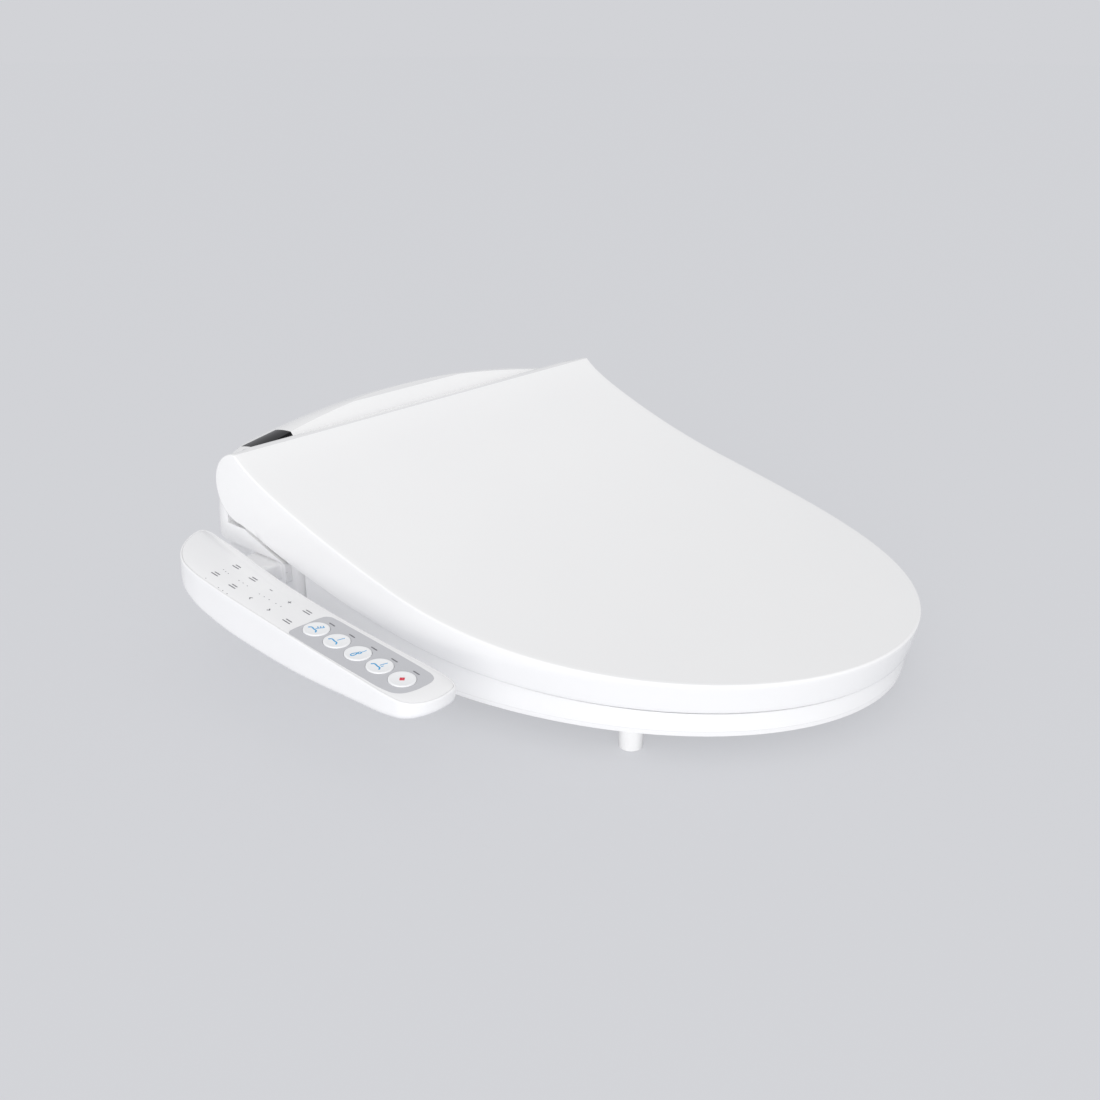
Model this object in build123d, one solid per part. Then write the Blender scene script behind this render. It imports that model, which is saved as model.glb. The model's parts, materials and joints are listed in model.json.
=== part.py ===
from build123d import *
from math import atan, cos, degrees, pi, radians, sin, sqrt, tan
import os

os.makedirs("parts", exist_ok=True)

# Electric bidet seat, in mm. Front is -Y, the control panel is at -X, Z is up from the bowl's top.
# The origin is midway between the two mounting bolts.

# fits
RUN_FIT = 0.05           # radial clearance of turning and sliding fits
PRESS_FIT = 0.02         # radial clearance of pressed pieces
HOLE_SLACK = 0.2         # radial clearance of screw holes
SEAT_GAP = 0.1           # between pieces that sit on each other
BODY_GAP = 0.5           # between pieces that move past each other
OVER = 1.0               # cuts run past a face, and joined solids into each other, by this much

# rear housing
DOME_W = 193.0           # half width at the parting line
DOME_Y = -30.0           # where the round rear starts
DOME_DEPTH = 80.0
DOME_TOP = 144.0
DOME_POWER = 2.6
DOME_LEAN = 15.0         # the front face leans back over this much of its top
HUMP_H = 19.0            # the ends round off over this much
HUMP_POWER = 0.55
SHOULDER_POWER = 2.2
LEVELS_LOW = 10          # sections of the housing below and above the hump's foot
LEVELS_HIGH = 6
LEVEL_LOW_POWER = 1.5
LEVEL_HIGH_POWER = 1.3
LEVEL_TOP = 0.867        # the last section, as a share of the hump's height
CASE_WALL = 2.8
PARTING_Z = 66.0
FLANGE_T = 3.0
FLANGE_IN = 11.0
DECK_Y = -72.0
DECK_FRONT_Z = 69.0
FRONT_Y = -104.0
BASE_INSET = 6.0
BASE_Z = 2.5
FLOOR_Z = 12.0
FLOOR_T = 3.0
BASE_CORNER_R = 8.0

# hinge line, shared by the lid and the seat
HINGE_Y = -47.0
HINGE_Z = 109.0
LOBE_R = 26.5            # round rear of the lid about the hinge line
TROUGH_GAP = 2.0         # between the lid's round rear and the housing
PIN_R = 5.0
PIN_IN = 4.0             # the pins start this far inside the brackets
BRACKET_W = 22.5
BRACKET_R = 18.0
BRACKET_GAP = 1.5        # between a bracket and the seat's arm
BRACKET_FOOT_T = 3.4
BRACKET_SCREW_IN = 11.0
BRACKET_SCREW_Y = -70.0
BRACKET_HEAD_R = 3.5
BRACKET_HEAD_T = 2.2
BRACKET_GRIP = 6.0
BRACKET_PILOT = 8.0
DAMPER_R = 12.0

# lid
LID_OUT = 0.7            # the lid stands out past the housing
LID_WAIST = 3.6          # it is this much narrower where the front curve starts
LID_LENGTH = 421.0       # hinge line to the front tip
LID_FRONT_Z = 52.9
LID_RISE = 78.0
LID_POWER = 2.55
LID_RIDGE_POWER = 40.0
LID_MID_Y = -203.4       # where the front curve starts
LID_WALL = 3.0
LID_TOP_T = 3.3
LID_BLANK_Z = 15.0
PLAN_PAST = 5.0          # the plan runs on behind the round rear
SKIRT_FRONT_Z = 31.3     # lower edge of the lid's skirt at the front
SKIRT_RISE = 52.0
SKIRT_POWER = 2.9
SKIRT_LEAN = 4.7         # the skirt leans in by this much at the front
SKIRT_END_Y = -59.0      # the lower edge runs straight from here to the round cheek
LOBE_END_DEG = -96.0
LOBE_MID_DEG = 20.0
ROLL_END_DEG = 30.0      # the rolled rear edge stops here
CHEEK_DEPTH = 15.2       # from the lid's side to the inner face of a round cheek
CHEEK_T = 12.0
CHEEK_STEP = 1.0
CHEEK_LAP = 2.0
CHEEK_FROM_Y = -118.0    # the housing's room for a cheek starts here
CHEEK_STEPS = 4
STATION_PAST = 1.02      # side curves run on past the front tip
STATION_POWER = 1.6      # and have their points closer together at the rear
LID_STATIONS = 14
SKIRT_STATIONS = 10
SEAT_STATIONS = 8
PAD_SHARES = (0.85, 0.292)
PAD_OUT = 0.526
PAD_R = 6.0

# seat
SEAT_INSET = 7.1         # seat outline inside the lid outline
SEAT_Z = 14.0            # underside of the ring
SEAT_REAR_Y = -107.0
SEAT_WALL = 3.0
SEAT_PLATE_T = 3.0
SEAT_LIP = 0.8           # the lower plate stands in from the upper shell
SEAT_BLANK_H = 60.0
LID_SEAT_GAP = 1.5
OPENING_AT = 0.525       # middle of the ring's opening, along the lid
OPENING_SHARE = 0.3017   # half its length, as a share of the lid's
OPENING_W = 104.0
OPENING_FLARE = 14.0
OPENING_FLARE_H = 66.0
OPENING_PAST = 6.0
NOTCH_SIDE = 3.0         # from the dryer's duct to the side of the passage under the ring's rear
NOTCH_Z = 42.0
NOTCH_Y = -165.0
NOTCH_FRONT_Y = -206.0   # its roof falls from the last line to here
NOTCH_FRONT_Z = 24.0
ARM_W = 16.0
ARM_GAP = 2.5            # between an arm and the lid's cheek
ARM_ROOT = 23.0
ARM_LOW_Z = 44.0
ARM_BACK_Z = 66.0
ARM_NECK = 4.0
ARM_NECK_Z = 72.0
ARM_DECK_GAP = 4.0
ARM_TOP_Z = 82.0
ARM_ROOT_Z = 60.0
ARM_TANGENT_DEG = 150.0
KNUCKLE_R = 17.0
BUSH_R = 7.5
HEATER_INSET = 16.0
HEATER_T = 0.6
HEATER_REAR_Y = -160.0
BUMPER_R = 8.5
BUMPER_TAPER = 1.0
BUMPER_STEM_R = 4.0
BUMPER_STEM_L = 3.0
BUMPER_SHARES = ((0.705, 0.748), (0.868, 0.2447))    # across and along the lid

# sensor window
WINDOW_END = 19.0        # in from the end of the hump
WINDOW_L = 32.0
WINDOW_Y0 = -34.0
WINDOW_Y1 = -6.0
WINDOW_T = 1.5

# control panel, on a plane that falls towards the front; points are (out from the housing's side, Y)
PANEL_Z = 86.03          # height of the plane at Y 0
PANEL_FALL = 0.084
PANEL_WALL = 2.4
PANEL_RIM = 1.2
PANEL_DEPTH = 60.0
TOP_T = 2.0
FIELD_T = 0.5
FIELD_CORNER_R = 2.5
NECK_OUT = 29.0
NECK_Y0 = -90.0
NECK_Y1 = -58.0
NECK_Z0 = 52.0
NECK_Z1 = 65.0
NECK_WALL = 2.0
NECK_FLANGE = 5.0
NECK_FLANGE_T = 3.0
NECK_FLANGE_LOW = 3.0
NECK_FLANGE_TOP = 0.8
NECK_SCREW_OUT = 2.8
NECK_SCREW_R = 1.5
NECK_HEAD_R = 2.2
NECK_HEAD_T = 1.6
NECK_GRIP = 5.5
NECK_BOSS_R = 4.0
NECK_BOSS_L = 7.0
NECK_PILOT = 6.5
KEY_COUNT = 5
KEY_OUT = 54.5
KEY_Y = -201.0
KEY_PITCH = 19.72
KEY_R = 8.5
KEY_EDGE_R = 0.6
KEY_SLACK = 0.4
KEY_RISE = 0.8           # above the key field
KEY_FLANGE = 0.8
KEY_FLANGE_T = 1.0
KEY_STEM_R = 2.0
KEY_STEM_L = 4.0
KEY_BORE_H = 10.0
BOARD_DROP = 10.6        # top of the panel board below the panel's face
BOARD_T = 1.6
BOARD_MARGIN = 2.5
BOARD_Y0 = -287.0
BOARD_Y1 = -70.0
SWITCH_W = 6.0
SWITCH_BODY = 2.1
SWITCH_R = 1.7
SWITCH_H = 3.0
PANEL_POST_R = 2.5
PANEL_POSTS = ((47.0, -120.0), (54.5, -190.0), (54.5, -270.0))
PANEL_INNER = (
    (22.6, -35),
    (23.2, -60),
    (28.7, -112),
    (33.6, -175),
    (35.4, -230),
    (33.4, -280),
    (32.5, -297),
)
PANEL_FRONT = (
    (34.2, -302.6),
    (39.5, -305.5),
    (53.0, -307.9),
    (64.0, -304.6),
    (70.2, -299),
    (72.6, -289),
)
PANEL_OUTER = (
    (72.3, -234),
    (70.6, -160),
    (69.0, -105),
    (65.3, -74),
    (53.0, -51),
    (38.0, -39),
)
FIELD_POINTS = (
    (38.2, -191.4),
    (69.0, -191.4),
    (69.9, -286),
    (65.5, -293),
    (56.0, -296.5),
    (37.2, -295),
    (38.6, -230),
)
HULL_UNDERSIDE = (       # Y and Z
    (-28, 68.5),
    (-60, 59.5),
    (-85, 53),
    (-115, 48),
    (-150, 44.8),
    (-199, 43),
    (-247, 44.8),
    (-285, 46.8),
    (-312, 50.5),
)
KEY_NAMES = ("key_dry", "key_pulse", "key_front_wash", "key_rear_wash", "key_stop")

# nozzles, sliding forward and down
NOZZLE_TILT = 15.0
NOZZLE_X = 14.0
NOZZLE_Y = -99.0         # tip of a nozzle that is drawn in
NOZZLE_Z = 27.0
NOZZLE_R = 6.0
NOZZLE_BORE = 3.0
NOZZLE_L = 118.0
NOZZLE_END = 6.0
TIP_L = 16.0
TIP_ROUND = 3.5
TIP_SPIGOT = 8.0
TIP_BORE = 1.6
TIP_BORE_FROM = 6.0
JET_R = 0.7
JET_DEPTH = 8.0
JETS_REAR = ((5.5, -1.6), (5.5, 1.6), (8.5, 0.0))    # along the tip, across it
JETS_FRONT = ((5.5, -2.2), (5.5, 0.0), (5.5, 2.2), (8.5, -1.2), (8.5, 1.2))
MODULE = 1.0
PINION_TEETH = 14
PINION_PITCHES = 3.5     # rack pitches from the rack's start to the pinion
PINION_ADD = 0.85
PINION_ROOT = 1.3
PINION_SINK = 0.6
PINION_ROOT_T = 1.15     # half thickness of a pinion tooth, root to tip
PINION_PITCH_T = 0.6
PINION_TIP_T = 0.25
SHAFT_R = 1.5
SHAFT_L = 11.0
RACK_FROM = 22.0
RACK_TO = 116.0
RACK_W = 6.0
RACK_LINE = 9.0          # pitch line above the nozzle's axis
RACK_BACK = 4.0
RACK_ADD = 0.85
RACK_ROOT = 1.25
RACK_TIP_T = 0.28        # half thickness of a rack tooth at its tip and root
RACK_ROOT_T = 1.0
CRADLE_L = 113.0
CRADLE_X = 24.0
CRADLE_FRONT = 3.0
CRADLE_NOSE = 14.0
CRADLE_FLOOR = 2.5
CRADLE_WALL = 3.0
CRADLE_BED = 4.0
MOTOR_PLATE_Y0 = -84.0
MOTOR_PLATE_Y1 = -56.0
MOTOR_PLATE_Z = 62.0
MOTOR_R = 12.0
MOTOR_L = 14.0
MOTOR_GAP = 2.0
MOTOR_PLUG = (12.0, 5.0, 9.0)
NOZZLE_PORT_X = 25.0
NOZZLE_PORT_Z0 = 16.0
NOZZLE_PORT_Z1 = 41.0

# water
INLET_Y = -62.0
INLET_Z = 26.0
INLET_R = 10.4
INLET_OUT = 13.0
INLET_NECK_R = 10.8      # where the nipple passes through the wall
INLET_FLANGE_R = 13.0
INLET_FLANGE_T = 2.0
INLET_BORE = 6.0
VALVE_W = 32.0
VALVE_Y = 17.0
VALVE_Z = 40.0
VALVE_CORNER_R = 4.0
VALVE_BACK = 6.0
COIL_R = 13.0
COIL_CORE_R = 9.0
COIL_Z0 = 2.0
COIL_Z1 = 20.0
COIL_CORE_Z = 24.0
COIL_PLUG_X = 10.0
COIL_PLUG_Y = (12.0, 16.0)
COIL_PLUG_Z = (6.0, 14.0)
HOSE_Z = 26.0
HOSE_R = 6.0
HOSE_BORE = 4.55
HOSE_BEND = 10.0
WASH_BEND = 8.0
HOSE_TANK_Y = -20.0
STUB_R = 4.5
STUB_BORE = 3.0
STUB_L = 6.5
STUB_LONG = 12.0
TANK_X0 = 48.0
TANK_SIDE = 53.0         # from the housing's side to the tank
TANK_Y0 = -78.0
TANK_Y1 = 0.0
TANK_Z = 58.0
TANK_WALL = 2.5
TANK_CORNER_R = 9.0
COVER_T = 3.0
ELEMENT_IN = 18.0
ELEMENT_Y = -52.0
ELEMENT_R = 4.0
ELEMENT_LOW = 10.0
ELEMENT_OUT = 12.0
ELEMENT_BEND = 8.0
DIVERTER_X = 17.0
DIVERTER_Y = 30.0
DIVERTER_DEPTH = 8.0
DIVERTER_Z = 40.0
DIVERTER_CORNER_R = 3.0
PORT_X = 7.0
PORT_DROP = 5.0
PORT_R = 2.5
PORT_BORE = 1.5
PORT_L = 15.0
STEPPER_R = 7.8
STEPPER_H = 14.0
STEPPER_EAR_X = 11.0
STEPPER_EAR_Y = 4.0
STEPPER_EAR_T = 1.5

# electrics
MAIN_BOARD_Z = 48.0
MAIN_SIDE = 15.0         # from the housing's side to the board
MAIN_W = 42.0
MAIN_Y0 = -80.0
MAIN_Y1 = -20.0
MAIN_PARTS = ((6, 8, 16, 18, 12), (20, 34, 14, 16, 3), (10, 36, 7, 16, 8))    # corner, width, depth, height
CAPACITOR = (32.0, 18.0, 6.0, 16.0)    # centre, radius, height
MAIN_POSTS = ((4.0, 40.0), (4.0, 56.0), (38.5, 4.0), (38.5, 56.0))
POST_R = 3.0
BOARD_SCREW_R = 1.5
BOARD_HEAD_R = 2.6
BOARD_HEAD_T = 1.8
BOARD_GRIP = 8.0
BOARD_PILOT = 9.0
TRAFO_W = 34.0
TRAFO_Y0 = -80.0
TRAFO_Y1 = -46.0
TRAFO_H = 28.0
TRAFO_CORE_IN = 8.0
TRAFO_COIL_IN = 7.0
TRAFO_COIL_Z = (6.0, 22.0)
GLAND_Y = -44.0
GLAND_Z = 24.0
GLAND_R = 8.0
GLAND_LIP = 2.0
GLAND_LIP_T = 3.0
CORD_R = 3.5

# warm air dryer
FAN_X = -100.0
FAN_Y = -8.0
FAN_R = 27.0
FAN_BLADES = 18
FAN_FLOOR_GAP = 2.0
FAN_TOP_GAP = 1.5
FAN_DISC_T = 1.5
FAN_HUB_R = 6.0
FAN_SHAFT_R = 2.0
FAN_SHAFT_UP = 12.0
BLADE_L = 10.0
BLADE_T = 1.2
BLADE_IN = 6.0
BLADE_TURN = 35.0
BLOWER_R = 32.0
BLOWER_WALL = 2.0
EYE_R = 16.7
LEG_W = 4.0
LEG_H = 6.0
LEG_OUT = 3.0
LEG_TURNS = (30, 150, 270)
RING_R = 10.0
RING_BORE = 5.0
RING_T = 2.0
BLOWER_MOTOR_R = 13.0
BLOWER_MOTOR_H = 20.0
BLOWER_MOTOR_EDGE = 2.0
BLOWER_MOTOR_BORE = 9.0
DUCT_X0 = -93.0
DUCT_X1 = -67.0
DUCT_Z0 = 14.0
DUCT_Z1 = 34.0
DUCT_SPLIT_Y = -52.0
DUCT_GAP = 0.4
DUCT_FOOT_IN = 3.0
DUCT_FOOT_L = 8.0
COIL_Y0 = -90.0
COIL_Y1 = -62.0
CARD_T = 1.0
COIL_TURNS = (-86, -79, -72, -66)
COIL_RING_R = 6.0
COIL_WIRE_R = 0.8
FLAP_Y = -102.7
FLAP_Z = 35.0
FLAP_T = 1.8
FLAP_SIDE = 0.6
FLAP_LOW = 0.4
FLAP_BARREL_R = 1.7
FLAP_ROOM = 2.6
FLAP_PIN_R = 0.8
FLAP_PIN_OUT = 4.0

# fasteners and mounting; columns are (in from the housing's side, Y), then one near the middle
SIDE_COLUMNS = ((19.0, -91.0), (53.0, 8.0))
MID_COLUMN = (62.0, 28.0)
COLUMN_R = 6.2
COLUMN_TOP = 57.0
COLUMN_SEAT = 3.0
BOSS_R = 5.0
BOSS_DEPTH = 14.0
SCREW_R = 2.0
SCREW_HEAD_R = 4.0
SCREW_HEAD_T = 3.2
SCREW_GRIP = 12.0
SOCKET_R = 1.6
SOCKET_DEPTH = 1.6
SMALL_SOCKET_R = 1.2
BOLT_X = 70.0            # half the distance between the mounting bolts
BOLT_HOLE_R = 4.5
PLATE_X = 98.0
PLATE_Y = 28.0
PLATE_T = 8.8
PLATE_CORNER_R = 3.0
POCKET_X = 20.0
POCKET_Y = 13.0
SLOT_X = 17.0
SLOT_Y = 7.0
ADJUSTER_Z = 3.0
ADJUSTER_X = 15.0
ADJUSTER_STEM_X = 10.0
ADJUSTER_T = 2.5
RAIL_GAP = 0.4
RAIL_T = 4.0
RAIL_LIP = 3.0
RAIL_LIP_T = 2.6
RAIL_Z = 1.0
FOOT_FRONT = (43.0, -85.0)    # in from the housing's side, and y
FOOT_REAR = (20.0, 8.0)       # out from the mounting plate, and y
FOOT_R = 9.0

# sizes that follow from the ones above
SPAN = 2 * DOME_W        # half width of blocks that cut right across
DOME_LEAN_Z = DOME_TOP - DOME_LEAN
HUMP_Z = DOME_TOP - HUMP_H
BASE_W = DOME_W - BASE_INSET
BASE_INNER = BASE_W - CASE_WALL
LID_REAR_W = DOME_W + LID_OUT
LID_MID_W = LID_REAR_W - LID_WAIST
CHEEK_X = LID_REAR_W - CHEEK_DEPTH
HUMP_W = CHEEK_X - SEAT_GAP
ARM_X1 = CHEEK_X - ARM_GAP
ARM_X0 = ARM_X1 - ARM_W
BRACKET_X1 = ARM_X0 - BRACKET_GAP
BRACKET_X0 = BRACKET_X1 - BRACKET_W
TROUGH_R = LOBE_R + TROUGH_GAP
DECK_Z = HINGE_Z - TROUGH_R
LID_RIDGE = HINGE_Z + LOBE_R - LID_FRONT_Z - LID_RISE
OPENING_Y = HINGE_Y - OPENING_AT * LID_LENGTH
OPENING_L = OPENING_SHARE * LID_LENGTH
NOTCH_W = NOTCH_SIDE - DUCT_X0
BUMPER_SPOTS = [(x * LID_MID_W, HINGE_Y - y * LID_LENGTH) for x, y in BUMPER_SHARES]
COLUMNS = [(DOME_W - inside, y) for inside, y in SIDE_COLUMNS] + [MID_COLUMN]
PINION_R = MODULE * PINION_TEETH / 2
PINION_AT = RACK_FROM + PINION_PITCHES * pi * MODULE
VALVE_X = BASE_INNER - INLET_FLANGE_T - SEAT_GAP - VALVE_W / 2
TANK_X1 = DOME_W - TANK_SIDE
ELEMENT_X = (TANK_X0 + ELEMENT_IN, TANK_X1 - ELEMENT_IN)
BOARD_X0 = MAIN_SIDE - DOME_W
NECK_SCREWS = (NECK_Y0 - NECK_SCREW_OUT, NECK_Y1 + NECK_SCREW_OUT)
NECK_MID_Z = (NECK_Z0 + NECK_Z1) / 2
PANEL_TILT = degrees(atan(PANEL_FALL))
PANEL_PLANE = Plane((0, 0, PANEL_Z), x_dir=(1, 0, 0), z_dir=(0, -PANEL_FALL, 1))


def box(x0, x1, y0, y1, z0, z1):
    return Pos((x0 + x1) / 2, (y0 + y1) / 2, (z0 + z1) / 2) * Box(x1 - x0, y1 - y0, z1 - z0)


def rod_x(y, z, r, x0, x1):
    return Pos((x0 + x1) / 2, y, z) * Rot(0, 90, 0) * Cylinder(r, abs(x1 - x0))


def rod_y(x, z, r, y0, y1):
    return Pos(x, (y0 + y1) / 2, z) * Rot(90, 0, 0) * Cylinder(r, abs(y1 - y0))


def rod_z(x, y, r, z0, z1):
    return Pos(x, y, (z0 + z1) / 2) * Cylinder(r, z1 - z0)


def side_prism(edges, x0, x1):
    # a side view drawn in Y and Z, carried along X
    return extrude(Plane.YZ.offset(x0) * make_face(edges), amount=x1 - x0)


def both_sides(piece):
    return piece + mirror(piece, Plane.YZ)


def joined(pieces):
    # pieces that may stand apart, as one shape
    whole = pieces[0]
    for piece in pieces[1:]:
        whole += piece
    return whole


def one(shape):
    # the shape's biggest solid
    return max(shape.solids(), key=lambda s: s.volume)


def save(name, shape):
    solids = shape.solids()
    whole = solids[0] if len(solids) == 1 else Compound(children=list(solids))
    whole.label = name
    export_step(whole, f"parts/{name}.step")


def stations(end_y, count):
    # places along the side, from past the front tip to end_y
    start_y = HINGE_Y - STATION_PAST * LID_LENGTH
    return [end_y + (start_y - end_y) * (1 - i / (count - 1)) ** STATION_POWER for i in range(count)]


def lid_t(y):
    return min(1.0, (HINGE_Y - y) / LID_LENGTH)


def lid_height(y):
    left = 1 - lid_t(y)
    return LID_FRONT_Z + LID_RISE * left ** LID_POWER + LID_RIDGE * left ** LID_RIDGE_POWER


def skirt_height(y):
    return SKIRT_FRONT_Z + SKIRT_RISE * (1 - lid_t(y)) ** SKIRT_POWER


def seat_height(y):
    return skirt_height(y) - LID_SEAT_GAP


def hinge_point(r, deg):
    return (HINGE_Y + r * cos(radians(deg)), HINGE_Z + r * sin(radians(deg)))


def lid_plan(inset, z):
    w0 = LID_REAR_W - inset
    w1 = LID_MID_W - inset
    rear_y = HINGE_Y + LOBE_R + PLAN_PAST
    right = Spline((w0, rear_y), (w1, LID_MID_Y), tangents=((0, -1), (0, -1)))
    left = Spline((-w1, LID_MID_Y), (-w0, rear_y), tangents=((0, 1), (0, 1)))
    length = LID_LENGTH + LID_MID_Y - HINGE_Y - inset
    front = EllipticalCenterArc((0, LID_MID_Y), w1, length, start_angle=180, arc_size=180)
    back = Line((-w0, rear_y), (w0, rear_y))
    return Pos(0, 0, z) * make_face([right, front, left, back])


def lid_blank(inset):
    low_inset = SKIRT_LEAN * (LID_FRONT_Z - LID_BLANK_Z) / (LID_FRONT_Z - SKIRT_FRONT_Z)
    low = lid_plan(inset + low_inset, LID_BLANK_Z)
    lower = loft([low, lid_plan(inset, LID_FRONT_Z)], ruled=True)
    return lower + extrude(lid_plan(inset, LID_FRONT_Z), amount=LOBE_R + HINGE_Z)


def lid_side():
    top = Spline(*[(y, lid_height(y)) for y in stations(HINGE_Y, LID_STATIONS)])
    lobe_end = hinge_point(LOBE_R, LOBE_END_DEG)
    lobe = ThreePointArc((HINGE_Y, HINGE_Z + LOBE_R), hinge_point(LOBE_R, LOBE_MID_DEG), lobe_end)
    lower = Spline(*[(y, skirt_height(y)) for y in stations(SKIRT_END_Y, SKIRT_STATIONS)])
    run = Line(lobe_end, lower @ 1)
    nose = Line(lower @ 0, top @ 0)
    return side_prism([top, lobe, run, lower, nose], -SPAN, SPAN)


def lid_room():
    # the hollow under the lid, seen from the side
    top = Spline(*[(y, lid_height(y) - LID_TOP_T) for y in stations(HINGE_Y, LID_STATIONS)[:-1]])
    r = LOBE_R - LID_WALL
    joint = Line(top @ 1, hinge_point(r, 90))
    roll = ThreePointArc(hinge_point(r, 90), hinge_point(r, 45), hinge_point(r, 0))
    down = Line(roll @ 1, (HINGE_Y + r, 0))
    under = Line(down @ 1, ((top @ 0).X, 0))
    up = Line(under @ 1, top @ 0)
    return side_prism([top, joint, roll, down, under, up], -SPAN, SPAN)


def lid_shell():
    side = lid_side()
    shell = (lid_blank(0) & side) - (lid_blank(LID_WALL) & lid_room())
    roll_z = HINGE_Z + LOBE_R * sin(radians(ROLL_END_DEG))
    shell -= box(-CHEEK_X, CHEEK_X, HINGE_Y, HINGE_Y + 2 * LOBE_R, 0, roll_z)
    disc = rod_x(HINGE_Y, HINGE_Z, LOBE_R - CHEEK_STEP, CHEEK_X, CHEEK_X + CHEEK_T + CHEEK_LAP)
    shell += both_sides(disc & side)
    pin_hole = rod_x(HINGE_Y, HINGE_Z, PIN_R + PRESS_FIT, CHEEK_X - OVER, CHEEK_X + CHEEK_T)
    return shell - both_sides(pin_hole)


def lid_pads():
    pads = []
    for share in PAD_SHARES:
        y = HINGE_Y - share * LID_LENGTH
        top = lid_height(y - PAD_R) - LID_TOP_T - SEAT_GAP
        low = seat_height(y + PAD_R) + BODY_GAP
        pads.append(both_sides(rod_z(PAD_OUT * LID_MID_W, y, PAD_R, low, top)))
    return joined(pads)


def lid_pins():
    return both_sides(rod_x(HINGE_Y, HINGE_Z, PIN_R, BRACKET_X0 + PIN_IN, CHEEK_X + CHEEK_T - BODY_GAP))


def seat_blank(inset, drop, low_z):
    rear = SEAT_REAR_Y - inset
    top = Spline(*[(y, seat_height(y) - drop) for y in stations(rear, SEAT_STATIONS)])
    back = Line(top @ 1, (rear, low_z))
    under = Line(back @ 1, ((top @ 0).X, low_z))
    nose = Line(under @ 1, top @ 0)
    plan = extrude(lid_plan(SEAT_INSET + inset, low_z), amount=SEAT_BLANK_H)
    return plan & side_prism([top, back, under, nose], -SPAN, SPAN)


def seat_opening(grow):
    low_z = SEAT_Z - OPENING_PAST
    low = Pos(0, OPENING_Y, low_z) * Ellipse(OPENING_W + grow, OPENING_L + grow)
    wide = OPENING_FLARE + grow
    high = Pos(0, OPENING_Y, low_z + OPENING_FLARE_H) * Ellipse(OPENING_W + wide, OPENING_L + wide)
    return loft([low, high])


def seat_notch(grow):
    # passage for the nozzles and the dryer's air, from the housing to the ring's opening
    side = Polyline(
        (0, 0),
        (0, NOTCH_Z + grow),
        (NOTCH_Y, NOTCH_Z + grow),
        (NOTCH_FRONT_Y - grow, NOTCH_FRONT_Z + grow),
        (NOTCH_FRONT_Y - grow, 0),
        close=True,
    )
    return side_prism(side, -NOTCH_W - grow, NOTCH_W + grow)


def seat_shell():
    low = SEAT_Z + SEAT_PLATE_T + SEAT_GAP
    outer = seat_blank(0, 0, low) - seat_opening(0) - seat_notch(0)
    hollow = seat_blank(SEAT_WALL, SEAT_WALL, SEAT_Z) - seat_opening(SEAT_WALL) - seat_notch(SEAT_WALL)
    rear = SEAT_REAR_Y
    arm_side = Polyline(
        (rear - ARM_ROOT, ARM_LOW_Z),
        (rear, ARM_LOW_Z),
        (rear, ARM_BACK_Z),
        (rear + ARM_NECK, ARM_NECK_Z),
        (DECK_Y, DECK_Z + ARM_DECK_GAP),
        (HINGE_Y, HINGE_Z - KNUCKLE_R),
        (HINGE_Y, HINGE_Z + KNUCKLE_R),
        hinge_point(KNUCKLE_R, ARM_TANGENT_DEG),
        (rear - OVER, ARM_TOP_Z),
        (rear - ARM_ROOT, ARM_ROOT_Z),
        close=True,
    )
    arm = side_prism(arm_side, ARM_X0, ARM_X1) + rod_x(HINGE_Y, HINGE_Z, KNUCKLE_R, ARM_X0, ARM_X1)
    shell = outer - hollow + both_sides(arm)
    bush_hole = rod_x(HINGE_Y, HINGE_Z, BUSH_R + PRESS_FIT, ARM_X0 - OVER, ARM_X1 + OVER)
    return one(shell - both_sides(bush_hole))


def seat_plate():
    ring = extrude(lid_plan(SEAT_INSET + SEAT_LIP, SEAT_Z), amount=SEAT_PLATE_T)
    ring &= box(-SPAN, SPAN, -2 * LID_LENGTH, SEAT_REAR_Y - SEAT_LIP, 0, HINGE_Z)
    ring = ring - seat_opening(SEAT_LIP) - seat_notch(0)
    for x, y in BUMPER_SPOTS:
        ring -= both_sides(rod_z(x, y, BUMPER_STEM_R + RUN_FIT, 0, HINGE_Z))
    return one(ring)


def seat_heater():
    drop = SEAT_WALL + SEAT_GAP
    film = seat_blank(HEATER_INSET, drop, SEAT_Z) - seat_blank(HEATER_INSET, drop + HEATER_T, SEAT_Z)
    film -= seat_opening(HEATER_INSET)
    return one(film - box(-SPAN, SPAN, HEATER_REAR_Y, 0, 0, HINGE_Z))


def seat_bumpers():
    feet = []
    for x, y in BUMPER_SPOTS:
        foot = Pos(x, y, SEAT_Z / 2) * Cone(BUMPER_R - BUMPER_TAPER, BUMPER_R, SEAT_Z)
        foot += rod_z(x, y, BUMPER_STEM_R, SEAT_Z - OVER, SEAT_Z + SEAT_PLATE_T + BUMPER_STEM_L)
        feet.append(both_sides(foot))
    return joined(feet)


def seat_bushes():
    bush = rod_x(HINGE_Y, HINGE_Z, BUSH_R, ARM_X0, ARM_X1)
    return both_sides(bush - rod_x(HINGE_Y, HINGE_Z, PIN_R + RUN_FIT, ARM_X0 - OVER, ARM_X1 + OVER))


def dome_width(z):
    if z >= HUMP_Z:
        return HUMP_W * (1 - (z - HUMP_Z) / (DOME_TOP - HUMP_Z)) ** HUMP_POWER
    rise = (z - PARTING_Z) / (HUMP_Z - PARTING_Z)
    return HUMP_W + (DOME_W - HUMP_W) * (1 - rise ** SHOULDER_POWER) ** HUMP_POWER


def dome_rear(z):
    rise = (z - PARTING_Z) / (DOME_TOP - PARTING_Z)
    return DOME_Y + DOME_DEPTH * sqrt(1 - rise ** DOME_POWER)


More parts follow.
